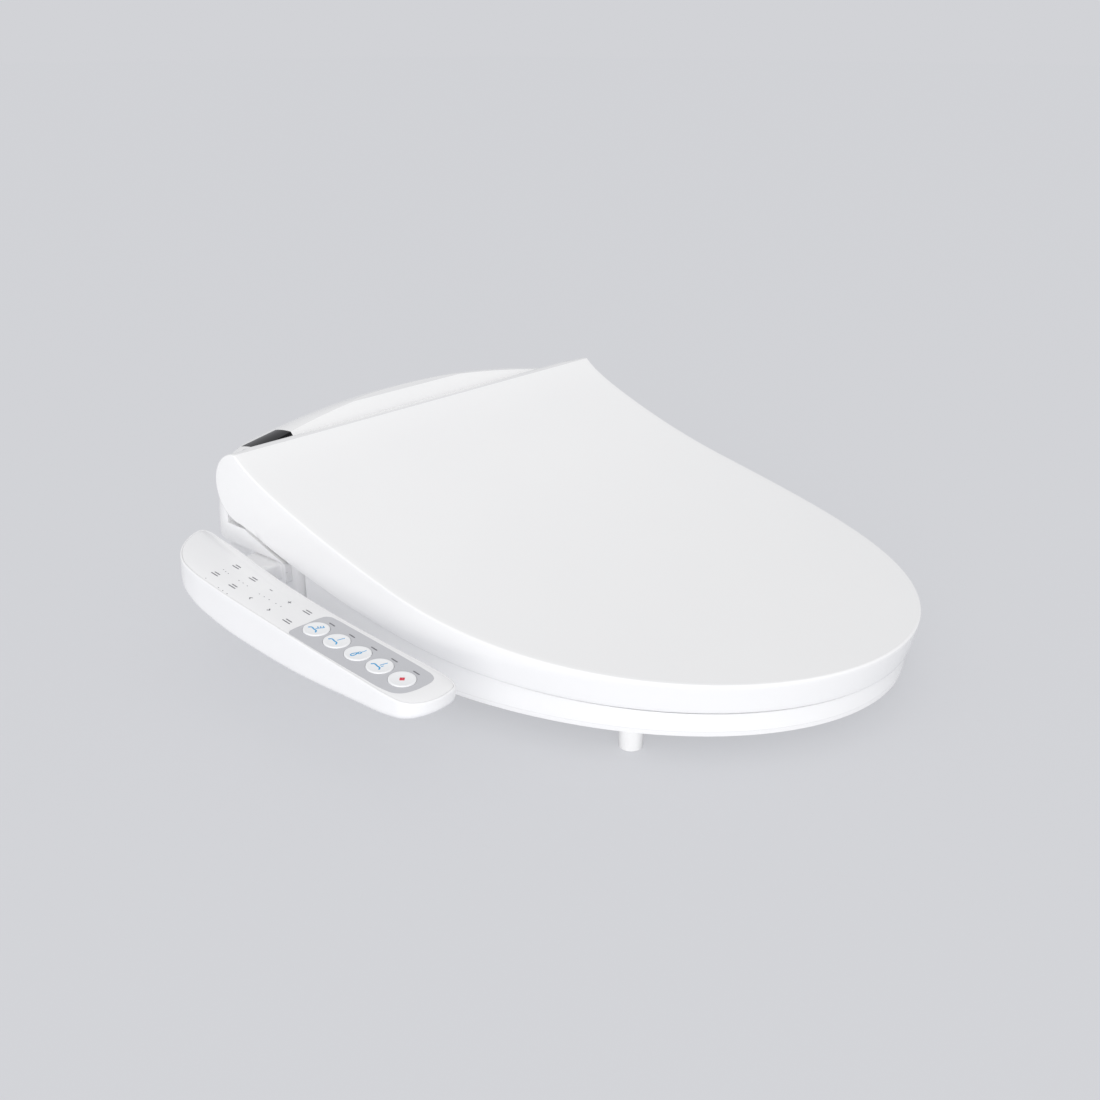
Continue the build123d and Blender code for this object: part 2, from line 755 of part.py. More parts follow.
def dome_levels():
    low = [1 - (1 - i / (LEVELS_LOW - 1)) ** LEVEL_LOW_POWER for i in range(LEVELS_LOW)]
    high = [LEVEL_TOP * (1 - (1 - i / LEVELS_HIGH) ** LEVEL_HIGH_POWER) for i in range(1, LEVELS_HIGH + 1)]
    levels = [PARTING_Z + (HUMP_Z - PARTING_Z) * share for share in low]
    return levels + [HUMP_Z + (DOME_TOP - HUMP_Z) * share for share in high]


def rear_curve(half, front, rear):
    # half of an oval, from the right end round the back to the left end
    return EllipticalCenterArc((0, front), half, rear - front, start_angle=0, arc_size=180)


def dome(inset):
    sections = []
    for z in dome_levels():
        front = DOME_Y + max(0, z - DOME_LEAN_Z) + inset
        curve = rear_curve(dome_width(z) - inset, front, dome_rear(z) - inset)
        sections.append(Pos(0, 0, z - inset) * make_face([curve, Line(curve @ 1, curve @ 0)]))
    return loft(sections, ruled=True)


def body_plan(inset, front, z):
    half = DOME_W - inset
    curve = rear_curve(half, DOME_Y, DOME_Y + DOME_DEPTH - inset)
    left = Line((-half, DOME_Y), (-half, front))
    face = Line((-half, front), (half, front))
    right = Line((half, front), (half, DOME_Y))
    return Pos(0, 0, z) * make_face([curve, left, face, right])


def deck_block(inset):
    rear = DOME_Y + inset + OVER
    side = Polyline(
        (FRONT_Y + inset, PARTING_Z - inset),
        (FRONT_Y + inset, DECK_FRONT_Z - inset),
        (DECK_Y, DECK_Z - inset),
        (rear, DECK_Z - inset),
        (rear, PARTING_Z - inset),
        close=True,
    )
    return side_prism(side, inset - DOME_W, DOME_W - inset)


def lid_clearance(grow):
    # room for the lid's round rear and its cheeks to turn
    trough = rod_x(HINGE_Y, HINGE_Z, TROUGH_R + grow, -SPAN, SPAN)
    step = (SKIRT_END_Y - CHEEK_FROM_Y) / CHEEK_STEPS
    places = [CHEEK_FROM_Y + step * i for i in range(CHEEK_STEPS + 1)]
    low = Spline(*[(y, skirt_height(y) - TROUGH_GAP - grow) for y in places])
    up = Line(low @ 1, hinge_point(TROUGH_R + grow, LOBE_END_DEG))
    inner = Line(up @ 1, (HINGE_Y, HINGE_Z))
    rise = Line((HINGE_Y, HINGE_Z), (HINGE_Y, 2 * HINGE_Z))
    top = Line((HINGE_Y, 2 * HINGE_Z), (CHEEK_FROM_Y, 2 * HINGE_Z))
    front = Line((CHEEK_FROM_Y, 2 * HINGE_Z), low @ 0)
    cheek = side_prism([low, up, inner, rise, top, front], CHEEK_X - OVER - grow, SPAN)
    return trough + both_sides(cheek)


def window_block(grow):
    x0 = WINDOW_END - HUMP_W
    return box(x0 - grow, x0 + WINDOW_L + grow, WINDOW_Y0 - grow, WINDOW_Y1 + grow, HINGE_Z, DOME_TOP)


def upper_case():
    solid = dome(0) + deck_block(0)
    room = lid_clearance(0)
    hollow = dome(CASE_WALL) + deck_block(CASE_WALL) - lid_clearance(CASE_WALL)
    hollow -= box(-SPAN, SPAN, -SPAN, SPAN, 0, PARTING_Z + FLANGE_T)
    mouth = body_plan(FLANGE_IN, FRONT_Y + FLANGE_IN, PARTING_Z - OVER)
    hollow += extrude(mouth, amount=FLANGE_T + OVER)
    case = solid - room - hollow
    bosses = joined([both_sides(rod_z(x, y, BOSS_R, PARTING_Z - OVER, DOME_TOP)) for x, y in COLUMNS])
    case += bosses & (solid - room)
    low = COLUMN_TOP + SEAT_GAP
    for x, y in COLUMNS:
        case += both_sides(rod_z(x, y, BOSS_R, low, PARTING_Z + OVER))
        case -= both_sides(rod_z(x, y, SCREW_R + RUN_FIT, low - OVER, low + BOSS_DEPTH))
    skin = solid - dome(WINDOW_T + SEAT_GAP)
    case -= skin & window_block(SEAT_GAP)
    x = BRACKET_X0 + BRACKET_SCREW_IN
    case -= both_sides(
        rod_z(x, BRACKET_SCREW_Y, SCREW_R + RUN_FIT, DECK_Z - BRACKET_PILOT, DECK_Z + OVER)
    )
    return one(case)


def sensor_window():
    skin = dome(0) - dome(WINDOW_T)
    return one((skin & window_block(0)) - lid_clearance(0))


def base_shell():
    top = PARTING_Z - SEAT_GAP
    inner = BASE_INSET + CASE_WALL
    base = extrude(body_plan(BASE_INSET, FRONT_Y, BASE_Z), amount=top - BASE_Z)
    base = fillet(base.edges().filter_by(Axis.Z).group_by(Axis.Y)[0], BASE_CORNER_R)
    room = extrude(body_plan(inner, FRONT_Y + CASE_WALL, FLOOR_Z), amount=PARTING_Z)
    room = fillet(room.edges().filter_by(Axis.Z).group_by(Axis.Y)[0], BASE_CORNER_R - CASE_WALL)
    under = extrude(body_plan(inner, FRONT_Y + CASE_WALL, -OVER), amount=FLOOR_Z - FLOOR_T + OVER)
    return base - room - under


def base_posts(base):
    for x, y in COLUMNS:
        base += both_sides(rod_z(x, y, COLUMN_R, FLOOR_Z - OVER, COLUMN_TOP))
        base -= both_sides(rod_z(x, y, SCREW_HEAD_R + HOLE_SLACK, 0, COLUMN_TOP - COLUMN_SEAT))
        base -= both_sides(rod_z(x, y, SCREW_R + HOLE_SLACK, 0, COLUMN_TOP + OVER))
    for dx, dy in MAIN_POSTS:
        x, y = BOARD_X0 + dx, MAIN_Y0 + dy
        base += rod_z(x, y, POST_R, FLOOR_Z - OVER, MAIN_BOARD_Z - SEAT_GAP)
        base -= rod_z(x, y, BOARD_SCREW_R + RUN_FIT, MAIN_BOARD_Z - BOARD_PILOT, MAIN_BOARD_Z)
    for y in NECK_SCREWS:
        base += rod_x(y, NECK_MID_Z, NECK_BOSS_R, OVER - BASE_W, NECK_BOSS_L - BASE_W)
        base -= rod_x(y, NECK_MID_Z, NECK_SCREW_R + PRESS_FIT, -BASE_W - OVER, NECK_PILOT - BASE_W)
    return base


def base_case():
    base = base_posts(base_shell())
    y0, y1 = FRONT_Y - OVER, FRONT_Y + CASE_WALL + OVER
    base -= box(-NOZZLE_PORT_X, NOZZLE_PORT_X, y0, y1, NOZZLE_PORT_Z0, NOZZLE_PORT_Z1)
    base -= box(DUCT_X0 - OVER, DUCT_X1 + OVER, y0, y1, DUCT_Z0 - BODY_GAP, FLAP_Z + FLAP_ROOM)
    pin_end = FLAP_PIN_OUT + OVER
    base -= rod_x(FLAP_Y, FLAP_Z, FLAP_PIN_R + PRESS_FIT, DUCT_X0 - pin_end, DUCT_X1 + pin_end)
    x0, x1 = -BASE_W - OVER, OVER - BASE_INNER
    w = NECK_WALL
    base -= box(x0, x1, NECK_Y0 + w, NECK_Y1 - w, NECK_Z0 + w, NECK_Z1 - w)
    base -= rod_x(INLET_Y, INLET_Z, INLET_NECK_R + HOLE_SLACK, BASE_INNER - OVER, BASE_W + OVER)
    base -= rod_x(GLAND_Y, GLAND_Z, GLAND_R + SEAT_GAP, x0, x1)
    side = PLATE_X + RAIL_GAP
    rail = box(side, side + RAIL_T, -PLATE_Y, PLATE_Y, RAIL_Z, FLOOR_Z - FLOOR_T + HOLE_SLACK)
    rail += box(side - RAIL_LIP, side + OVER, -PLATE_Y, PLATE_Y, RAIL_Z, RAIL_Z + RAIL_LIP_T)
    return base + both_sides(rail)


def mounting_plate():
    plate = box(-PLATE_X, PLATE_X, -PLATE_Y, PLATE_Y, 0, PLATE_T)
    plate = fillet(plate.edges().filter_by(Axis.Z), PLATE_CORNER_R)
    groove_z = RAIL_Z + RAIL_LIP_T + RAIL_GAP
    groove = box(
        PLATE_X - RAIL_LIP, PLATE_X + OVER, -PLATE_Y - OVER, PLATE_Y + OVER, -OVER, groove_z
    )
    pocket = box(BOLT_X - POCKET_X, BOLT_X + POCKET_X, -POCKET_Y, POCKET_Y, ADJUSTER_Z, PLATE_T + OVER)
    slot = box(BOLT_X - SLOT_X, BOLT_X + SLOT_X, -SLOT_Y, SLOT_Y, -OVER, PLATE_T + OVER)
    return plate - both_sides(groove + pocket + slot)


def plate_adjusters():
    y = POCKET_Y - SEAT_GAP
    low = ADJUSTER_Z + RUN_FIT
    block = box(BOLT_X - ADJUSTER_X, BOLT_X + ADJUSTER_X, -y, y, low, ADJUSTER_Z + ADJUSTER_T)
    y = SLOT_Y - SEAT_GAP
    block += box(BOLT_X - ADJUSTER_STEM_X, BOLT_X + ADJUSTER_STEM_X, -y, y, 0, ADJUSTER_Z + OVER)
    return both_sides(block - rod_z(BOLT_X, 0, BOLT_HOLE_R, -OVER, PLATE_T))


def base_feet():
    top = FLOOR_Z - FLOOR_T - SEAT_GAP
    spots = ((DOME_W - FOOT_FRONT[0], FOOT_FRONT[1]), (PLATE_X + FOOT_REAR[0], FOOT_REAR[1]))
    return joined([both_sides(rod_z(x, y, FOOT_R, 0, top)) for x, y in spots])


def case_screws():
    screws = []
    seat_z = COLUMN_TOP - COLUMN_SEAT
    low = seat_z - SCREW_HEAD_T
    for x, y in COLUMNS:
        screw = rod_z(x, y, SCREW_HEAD_R, low, seat_z)
        screw += rod_z(x, y, SCREW_R, seat_z - OVER, COLUMN_TOP + SCREW_GRIP)
        screws.append(both_sides(screw - rod_z(x, y, SOCKET_R, low - OVER, low + SOCKET_DEPTH)))
    return joined(screws)


def hinge_brackets():
    foot = DECK_Z + SEAT_GAP
    tread = foot + BRACKET_FOOT_T
    post = box(BRACKET_X0, BRACKET_X1, HINGE_Y - BRACKET_R, HINGE_Y + OVER, foot, HINGE_Z)
    post += rod_x(HINGE_Y, HINGE_Z, BRACKET_R, BRACKET_X0, BRACKET_X1)
    post += box(BRACKET_X0, BRACKET_X1, DECK_Y + BODY_GAP, HINGE_Y - BRACKET_R + OVER, foot, tread)
    post -= rod_x(HINGE_Y, HINGE_Z, DAMPER_R + SEAT_GAP, BRACKET_X0 - OVER, BRACKET_X1 + OVER)
    x = BRACKET_X0 + BRACKET_SCREW_IN
    return both_sides(post - rod_z(x, BRACKET_SCREW_Y, SCREW_R + HOLE_SLACK, foot - OVER, tread + OVER))


def bracket_screws():
    x = BRACKET_X0 + BRACKET_SCREW_IN
    tread = DECK_Z + SEAT_GAP + BRACKET_FOOT_T
    top = tread + BRACKET_HEAD_T
    screw = rod_z(x, BRACKET_SCREW_Y, BRACKET_HEAD_R, tread, top)
    screw += rod_z(x, BRACKET_SCREW_Y, SCREW_R, DECK_Z - BRACKET_GRIP, tread + OVER)
    return both_sides(screw - rod_z(x, BRACKET_SCREW_Y, SMALL_SOCKET_R, tread + OVER, top + OVER))


def hinge_dampers():
    can = rod_x(HINGE_Y, HINGE_Z, DAMPER_R, BRACKET_X0 + BODY_GAP, BRACKET_X1 - BODY_GAP)
    return both_sides(can - rod_x(HINGE_Y, HINGE_Z, PIN_R + RUN_FIT, BRACKET_X0, BRACKET_X1))


def on_panel(out, y):
    # a point of the plan, as drawn on the panel's plane
    return (-DOME_W - out, y / cos(radians(PANEL_TILT)))


def unit(p, q):
    size = sqrt((q[0] - p[0]) ** 2 + (q[1] - p[1]) ** 2)
    return ((q[0] - p[0]) / size, (q[1] - p[1]) / size)


def shifted(points, inset):
    # every point of a closed line moved in, square to the line
    moved = []
    for i, p in enumerate(points):
        a = unit(points[i - 1], p)
        b = unit(p, points[(i + 1) % len(points)])
        share = inset / (1 + a[0] * b[0] + a[1] * b[1])
        moved.append((p[0] + (a[1] + b[1]) * share, p[1] - (a[0] + b[0]) * share))
    return moved


def panel_outline(inset):
    loop = [on_panel(out, y) for out, y in PANEL_INNER + PANEL_FRONT + PANEL_OUTER]
    loop = shifted(loop, inset)
    k = len(PANEL_INNER)
    inner = Spline(*loop[:k])
    corner = ThreePointArc(inner @ 1, loop[k], loop[k + 1])
    front = ThreePointArc(loop[k + 1], loop[k + 2], loop[k + 3])
    nose = ThreePointArc(loop[k + 3], loop[k + 4], loop[k + 5])
    outer = Spline(*loop[k + 5:], loop[0], tangents=((0, 1), (1, 0.05)))
    return make_face([inner, corner, front, nose, outer])


def panel_slab(inset, high, low):
    return extrude(PANEL_PLANE.offset(low) * panel_outline(inset), amount=high - low)


def hull_side(rise):
    under = Spline(*[(y, z + rise) for y, z in HULL_UNDERSIDE])
    front = Line(under @ 1, (HULL_UNDERSIDE[-1][0], HINGE_Z))
    top = Line(front @ 1, (HULL_UNDERSIDE[0][0], HINGE_Z))
    rear = Line(top @ 1, under @ 0)
    return side_prism([under, front, top, rear], -SPAN, -DOME_W)


def panel_case():
    hull = panel_slab(0, 0, -PANEL_DEPTH) & hull_side(0)
    room = panel_slab(PANEL_WALL, OVER, -PANEL_DEPTH) & hull_side(PANEL_WALL)
    ledge = panel_slab(PANEL_RIM, OVER, -TOP_T - SEAT_GAP)
    end, start = -BASE_W - SEAT_GAP, -DOME_W - NECK_OUT
    w = NECK_WALL
    neck = box(start, end, NECK_Y0, NECK_Y1, NECK_Z0, NECK_Z1) - room
    y0, y1 = NECK_Y0 - NECK_FLANGE, NECK_Y1 + NECK_FLANGE
    flange = box(end - NECK_FLANGE_T, end, y0, y1, NECK_Z0 - NECK_FLANGE_LOW, NECK_Z1 + NECK_FLANGE_TOP)
    bore = box(start + w, end + OVER, NECK_Y0 + w, NECK_Y1 - w, NECK_Z0 + w, NECK_Z1 - w)
    case = hull - room + neck + flange - bore - ledge
    for y in NECK_SCREWS:
        case -= rod_x(y, NECK_MID_Z, NECK_SCREW_R + HOLE_SLACK, end - NECK_FLANGE_T - OVER, end + OVER)
    low = -BOARD_DROP - BOARD_T - SEAT_GAP
    posts = []
    for out, y in PANEL_POSTS:
        x, v = on_panel(out, y)
        posts.append(PANEL_PLANE * Pos(x, v, low - PANEL_DEPTH / 2) * Cylinder(PANEL_POST_R, PANEL_DEPTH))
    return one(case + (joined(posts) & hull & hull_side(OVER)))


def key_spot(i):
    return on_panel(KEY_OUT, KEY_Y - i * KEY_PITCH)


def key_bores(plate):
    for i in range(KEY_COUNT):
        x, v = key_spot(i)
        plate -= PANEL_PLANE * Pos(x, v, 0) * Cylinder(KEY_R + KEY_SLACK, KEY_BORE_H)
    return plate


def field_outline():
    face = make_face(Polyline(*[on_panel(out, y) for out, y in FIELD_POINTS], close=True))
    return fillet(face.vertices(), FIELD_CORNER_R)


def panel_top():
    plate = panel_slab(PANEL_RIM + SEAT_GAP, 0, -TOP_T)
    recess = offset(field_outline(), RUN_FIT)
    plate -= extrude(PANEL_PLANE.offset(-FIELD_T - RUN_FIT) * recess, amount=TOP_T)
    return key_bores(plate)


def key_field():
    return key_bores(extrude(PANEL_PLANE.offset(-FIELD_T) * field_outline(), amount=FIELD_T))


def key_cap(i):
    x, v = key_spot(i)
    low = -TOP_T - KEY_SLACK
    foot = low - KEY_FLANGE_T
    cap = Pos(0, 0, (KEY_RISE + foot) / 2) * Cylinder(KEY_R, KEY_RISE - foot)
    cap = fillet(cap.edges().group_by(Axis.Z)[-1], KEY_EDGE_R)
    cap += Pos(0, 0, (low + foot) / 2) * Cylinder(KEY_R + KEY_FLANGE, KEY_FLANGE_T)
    cap += Pos(0, 0, low - KEY_STEM_L / 2) * Cylinder(KEY_STEM_R, KEY_STEM_L)
    return PANEL_PLANE * Pos(x, v, 0) * cap


def panel_board():
    board = panel_slab(PANEL_WALL + BOARD_MARGIN, -BOARD_DROP, -BOARD_DROP - BOARD_T)
    return one(board & box(-SPAN, 0, BOARD_Y0, BOARD_Y1, 0, HINGE_Z))


def panel_switches():
    switches = []
    for i in range(KEY_COUNT):
        x, v = key_spot(i)
        body = Pos(x, v, SWITCH_BODY / 2 - BOARD_DROP) * Box(SWITCH_W, SWITCH_W, SWITCH_BODY)
        body += Pos(x, v, SWITCH_H * 0.75 - BOARD_DROP) * Cylinder(SWITCH_R, SWITCH_H / 2)
        switches.append(PANEL_PLANE * body)
    return joined(switches)


def panel_screws():
    end = -BASE_W - SEAT_GAP
    seat_x = end - NECK_FLANGE_T
    screws = []
    for y in NECK_SCREWS:
        screw = rod_x(y, NECK_MID_Z, NECK_HEAD_R, seat_x - NECK_HEAD_T, seat_x)
        screws.append(screw + rod_x(y, NECK_MID_Z, NECK_SCREW_R, seat_x - OVER, end + NECK_GRIP))
    return joined(screws)


def nozzle_plane(side):
    tilt = radians(NOZZLE_TILT)
    return Plane((side * NOZZLE_X, NOZZLE_Y, NOZZLE_Z), x_dir=(1, 0, 0), z_dir=(0, cos(tilt), sin(tilt)))


def along(r, s0, s1):
    return Pos(0, 0, (s0 + s1) / 2) * Cylinder(r, s1 - s0)


def rack_side():
    # teeth drawn with the slide direction across and up away from the nozzle
    pitch = pi * MODULE
    low, high = RACK_LINE - RACK_ROOT, RACK_LINE + RACK_ADD
    points = [(RACK_FROM, RACK_BACK), (RACK_FROM, low)]
    for i in range(int((RACK_TO - RACK_FROM) / pitch)):
        mid = RACK_FROM + (i + 0.5) * pitch
        points.append((mid - RACK_ROOT_T, low))
        points.append((mid - RACK_TIP_T, high))
        points.append((mid + RACK_TIP_T, high))
        points.append((mid + RACK_ROOT_T, low))
    points.append((mid + pitch / 2, low))
    points.append((mid + pitch / 2, RACK_BACK))
    return make_face(Polyline(*points, close=True))


def nozzle_tube(side):
    tube = along(NOZZLE_R, TIP_L, NOZZLE_L)
    rack_plane = Plane((-RACK_W / 2, 0, 0), x_dir=(0, 0, 1), z_dir=(1, 0, 0))
    tube += extrude(rack_plane * rack_side(), amount=RACK_W)
    tube -= along(NOZZLE_BORE, TIP_L - OVER, NOZZLE_L - NOZZLE_END)
    return nozzle_plane(side) * tube


def nozzle_tip(side, jets):
    tip = along(NOZZLE_R, 0, TIP_L - RUN_FIT)
    tip = fillet(tip.edges().group_by(Axis.Z)[0], TIP_ROUND)
    tip += along(NOZZLE_BORE - PRESS_FIT, TIP_L - OVER, TIP_L + TIP_SPIGOT)
    tip -= along(TIP_BORE, TIP_BORE_FROM, TIP_L + TIP_SPIGOT + OVER)
    for s, x in jets:
        tip -= Pos(x, -JET_DEPTH / 2, s) * Rot(90, 0, 0) * Cylinder(JET_R, JET_DEPTH)
    return nozzle_plane(side) * tip


def pinion_spot(side):
    return nozzle_plane(side) * Pos(0, -RACK_LINE - PINION_R, PINION_AT) * Rot(0, 90 * side, 0)


def pinion(side):
    root = PINION_R - PINION_ROOT - PINION_SINK
    tip = PINION_R + PINION_ADD
    points = (
        (root, -PINION_ROOT_T),
        (PINION_R, -PINION_PITCH_T),
        (tip, -PINION_TIP_T),
        (tip, PINION_TIP_T),
        (PINION_R, PINION_PITCH_T),
        (root, PINION_ROOT_T),
    )
    tooth = Pos(0, 0, -RACK_W / 2) * extrude(make_face(Polyline(*points, close=True)), amount=RACK_W)
    gear = Cylinder(PINION_R - PINION_ROOT, RACK_W)
    for i in range(PINION_TEETH):
        gear += Rot(0, 0, 360 * i / PINION_TEETH) * tooth
    gear += Pos(0, 0, RACK_W / 2 - OVER + SHAFT_L / 2) * Cylinder(SHAFT_R, SHAFT_L)
    return pinion_spot(side) * gear


def nozzle_motors():
    motors = []
    middle = RACK_W / 2 + MOTOR_GAP + MOTOR_L / 2
    can = Pos(0, 0, middle) * Cylinder(MOTOR_R, MOTOR_L)
    can -= Pos(0, 0, RACK_W / 2 + SHAFT_L / 2) * Cylinder(SHAFT_R + RUN_FIT, SHAFT_L + 2 * OVER)
    can += Pos(0, MOTOR_R, middle) * Box(*MOTOR_PLUG)
    for side in (-1, 1):
        motors.append(pinion_spot(side) * Rot(0, 0, 90) * can)
    return joined(motors)


def nozzle_cradle():
    rise = tan(radians(NOZZLE_TILT))
    y0, y1, y2 = NOZZLE_Y + CRADLE_FRONT, NOZZLE_Y + CRADLE_L, NOZZLE_Y + CRADLE_NOSE
    z0, z1 = NOZZLE_Z + CRADLE_FRONT * rise, NOZZLE_Z + CRADLE_L * rise
    foot = FLOOR_Z + SEAT_GAP
    low = foot + CRADLE_FLOOR
    drop = NOZZLE_R + CRADLE_BED
    outside = Polyline((y0, foot), (y1, foot), (y1, z1), (y0, z0), close=True)
    inside = Polyline(
        (y2, low),
        (y1 + OVER, low),
        (y1 + OVER, z1 - drop),
        (y2, NOZZLE_Z + CRADLE_NOSE * rise - drop),
        close=True,
    )
    cradle = side_prism(outside, -CRADLE_X, CRADLE_X)
    cradle -= side_prism(inside, CRADLE_WALL - CRADLE_X, CRADLE_X - CRADLE_WALL)
    for side in (-1, 1):
        cradle -= nozzle_plane(side) * along(NOZZLE_R + RUN_FIT, -NOZZLE_L, 2 * NOZZLE_L)
    x0 = NOZZLE_X + RACK_W / 2 + MOTOR_GAP + MOTOR_L + SEAT_GAP
    x1 = x0 + CRADLE_WALL
    cradle += box(-x1, x1, MOTOR_PLATE_Y0, MOTOR_PLATE_Y1, foot, low)
    return cradle + both_sides(box(x0, x1, MOTOR_PLATE_Y0, MOTOR_PLATE_Y1, foot, MOTOR_PLATE_Z))


def water_inlet():
    start, end = BASE_INNER - INLET_FLANGE_T, BASE_W + INLET_OUT
    inlet = rod_x(INLET_Y, INLET_Z, INLET_R, start, end)
    inlet += rod_x(INLET_Y, INLET_Z, INLET_NECK_R, start, BASE_W + OVER)
    inlet += rod_x(INLET_Y, INLET_Z, INLET_FLANGE_R, start, BASE_INNER - SEAT_GAP)
    return inlet - rod_x(INLET_Y, INLET_Z, INLET_BORE, start - OVER, end + OVER)


def inlet_valve():
    left, right = VALVE_X - VALVE_W / 2, VALVE_X + VALVE_W / 2
    y0, y1 = INLET_Y - VALVE_Y, INLET_Y + VALVE_Y
    body = box(left, right, y0, y1, FLOOR_Z + SEAT_GAP, VALVE_Z)
    body = fillet(body.edges().filter_by(Axis.Z), VALVE_CORNER_R)
    body += rod_y(VALVE_X, HOSE_Z, STUB_R, y1 - OVER, y1 + STUB_LONG)
    body -= rod_x(INLET_Y, INLET_Z, INLET_BORE, left + VALVE_BACK, right + OVER)
    return body - rod_y(VALVE_X, HOSE_Z, STUB_BORE, INLET_Y, y1 + STUB_LONG + OVER)


def valve_coil():
    low = VALVE_Z + SEAT_GAP
    coil = rod_z(VALVE_X, INLET_Y, COIL_R, low + COIL_Z0, low + COIL_Z1)
    coil += rod_z(VALVE_X, INLET_Y, COIL_CORE_R, low, low + COIL_CORE_Z)
    x0, x1 = VALVE_X - COIL_PLUG_X, VALVE_X + COIL_PLUG_X
    y0, y1 = COIL_PLUG_Y
    z0, z1 = COIL_PLUG_Z
    return coil + box(x0, x1, INLET_Y + y0, INLET_Y + y1, low + z0, low + z1)


def heater_tank():
    tank = box(TANK_X0, TANK_X1, TANK_Y0, TANK_Y1, FLOOR_Z + SEAT_GAP, TANK_Z)
    tank = fillet(tank.edges().filter_by(Axis.Z), TANK_CORNER_R)
    w = TANK_WALL
    room = box(TANK_X0 + w, TANK_X1 - w, TANK_Y0 + w, TANK_Y1 - w, FLOOR_Z + w, TANK_Z + OVER)
    tank -= fillet(room.edges().filter_by(Axis.Z), TANK_CORNER_R - w)
    tank += rod_x(HOSE_TANK_Y, HOSE_Z, STUB_R, TANK_X1 - OVER, TANK_X1 + STUB_LONG)
    tank += rod_x(HOSE_TANK_Y, HOSE_Z, STUB_R, TANK_X0 - STUB_L, TANK_X0 + OVER)
    return tank - rod_x(HOSE_TANK_Y, HOSE_Z, STUB_BORE, TANK_X0 - 2 * STUB_L, TANK_X1 + 2 * STUB_LONG)


def tank_cover():
    low = TANK_Z + SEAT_GAP
    cover = box(TANK_X0, TANK_X1, TANK_Y0, TANK_Y1, low, low + COVER_T)
    cover = fillet(cover.edges().filter_by(Axis.Z), TANK_CORNER_R)
    for x in ELEMENT_X:
        cover -= rod_z(x, ELEMENT_Y, ELEMENT_R + PRESS_FIT, low - OVER, low + COVER_T + OVER)
    return cover


def tank_element():
    low, high = FLOOR_Z + ELEMENT_LOW, TANK_Z + ELEMENT_OUT
    x0, x1 = ELEMENT_X
    path = FilletPolyline(
        (x0, ELEMENT_Y, high),
        (x0, ELEMENT_Y, low),
        (x1, ELEMENT_Y, low),
        (x1, ELEMENT_Y, high),
        radius=ELEMENT_BEND,
    )
    return sweep(Plane(path @ 0, z_dir=path % 0) * Circle(ELEMENT_R), path)


def hose(points, bend):
    path = FilletPolyline(*points, radius=bend)
    start = Plane(path @ 0, z_dir=path % 0)
    return sweep(start * Circle(HOSE_R), path) - sweep(start * Circle(HOSE_BORE), path)


def supply_hose():
    start = (VALVE_X, INLET_Y + VALVE_Y + BODY_GAP, HOSE_Z)
    end = (TANK_X1 + BODY_GAP, HOSE_TANK_Y, HOSE_Z)
    return hose((start, (VALVE_X, HOSE_TANK_Y, HOSE_Z), end), HOSE_BEND)


def wash_hose():
    x = (TANK_X0 + DIVERTER_X) / 2
    start = (TANK_X0 - BODY_GAP, HOSE_TANK_Y, HOSE_Z)
    end = (DIVERTER_X + BODY_GAP, DIVERTER_Y, HOSE_Z)
    return hose((start, (x, HOSE_TANK_Y, HOSE_Z), (x, DIVERTER_Y, HOSE_Z), end), WASH_BEND)


def diverter_valve():
    y0, y1 = DIVERTER_Y - DIVERTER_DEPTH, DIVERTER_Y + DIVERTER_DEPTH
    body = box(-DIVERTER_X, DIVERTER_X, y0, y1, FLOOR_Z + SEAT_GAP, DIVERTER_Z)
    body = fillet(body.edges().filter_by(Axis.Z), DIVERTER_CORNER_R)
    body += rod_x(DIVERTER_Y, HOSE_Z, STUB_R, DIVERTER_X - OVER, DIVERTER_X + STUB_L)
    z = DIVERTER_Z - PORT_DROP
    for x in (-PORT_X, PORT_X):
        body += rod_y(x, z, PORT_R, DIVERTER_Y - PORT_L, DIVERTER_Y)
        body -= rod_y(x, z, PORT_BORE, DIVERTER_Y - PORT_L - OVER, DIVERTER_Y)
    return body - rod_x(DIVERTER_Y, HOSE_Z, STUB_BORE, 0, DIVERTER_X + 2 * STUB_L)


def diverter_motor():
    low = DIVERTER_Z + SEAT_GAP
    y0, y1 = DIVERTER_Y - STEPPER_EAR_Y, DIVERTER_Y + STEPPER_EAR_Y
    ears = box(-STEPPER_EAR_X, STEPPER_EAR_X, y0, y1, low, low + STEPPER_EAR_T)
    return ears + rod_z(0, DIVERTER_Y, STEPPER_R, low, low + STEPPER_H)


def main_board():
    top = MAIN_BOARD_Z + BOARD_T - SEAT_GAP
    board = box(BOARD_X0, BOARD_X0 + MAIN_W, MAIN_Y0, MAIN_Y1, MAIN_BOARD_Z, MAIN_BOARD_Z + BOARD_T)
    for dx, dy, wide, deep, high in MAIN_PARTS:
        x, y = BOARD_X0 + dx, MAIN_Y0 + dy
        board += box(x, x + wide, y, y + deep, top, top + high)
    dx, dy, r, high = CAPACITOR
    board += rod_z(BOARD_X0 + dx, MAIN_Y0 + dy, r, top, top + high)
    for dx, dy in MAIN_POSTS:
        x, y = BOARD_X0 + dx, MAIN_Y0 + dy
        board -= rod_z(x, y, BOARD_SCREW_R + SEAT_GAP, MAIN_BOARD_Z - OVER, top + OVER)
    return board


def board_screws():
    screws = []
    top = MAIN_BOARD_Z + BOARD_T
    for dx, dy in MAIN_POSTS:
        x, y = BOARD_X0 + dx, MAIN_Y0 + dy
        screw = rod_z(x, y, BOARD_HEAD_R, top, top + BOARD_HEAD_T)
        screws.append(screw + rod_z(x, y, BOARD_SCREW_R, MAIN_BOARD_Z - BOARD_GRIP, top + OVER))
    return joined(screws)


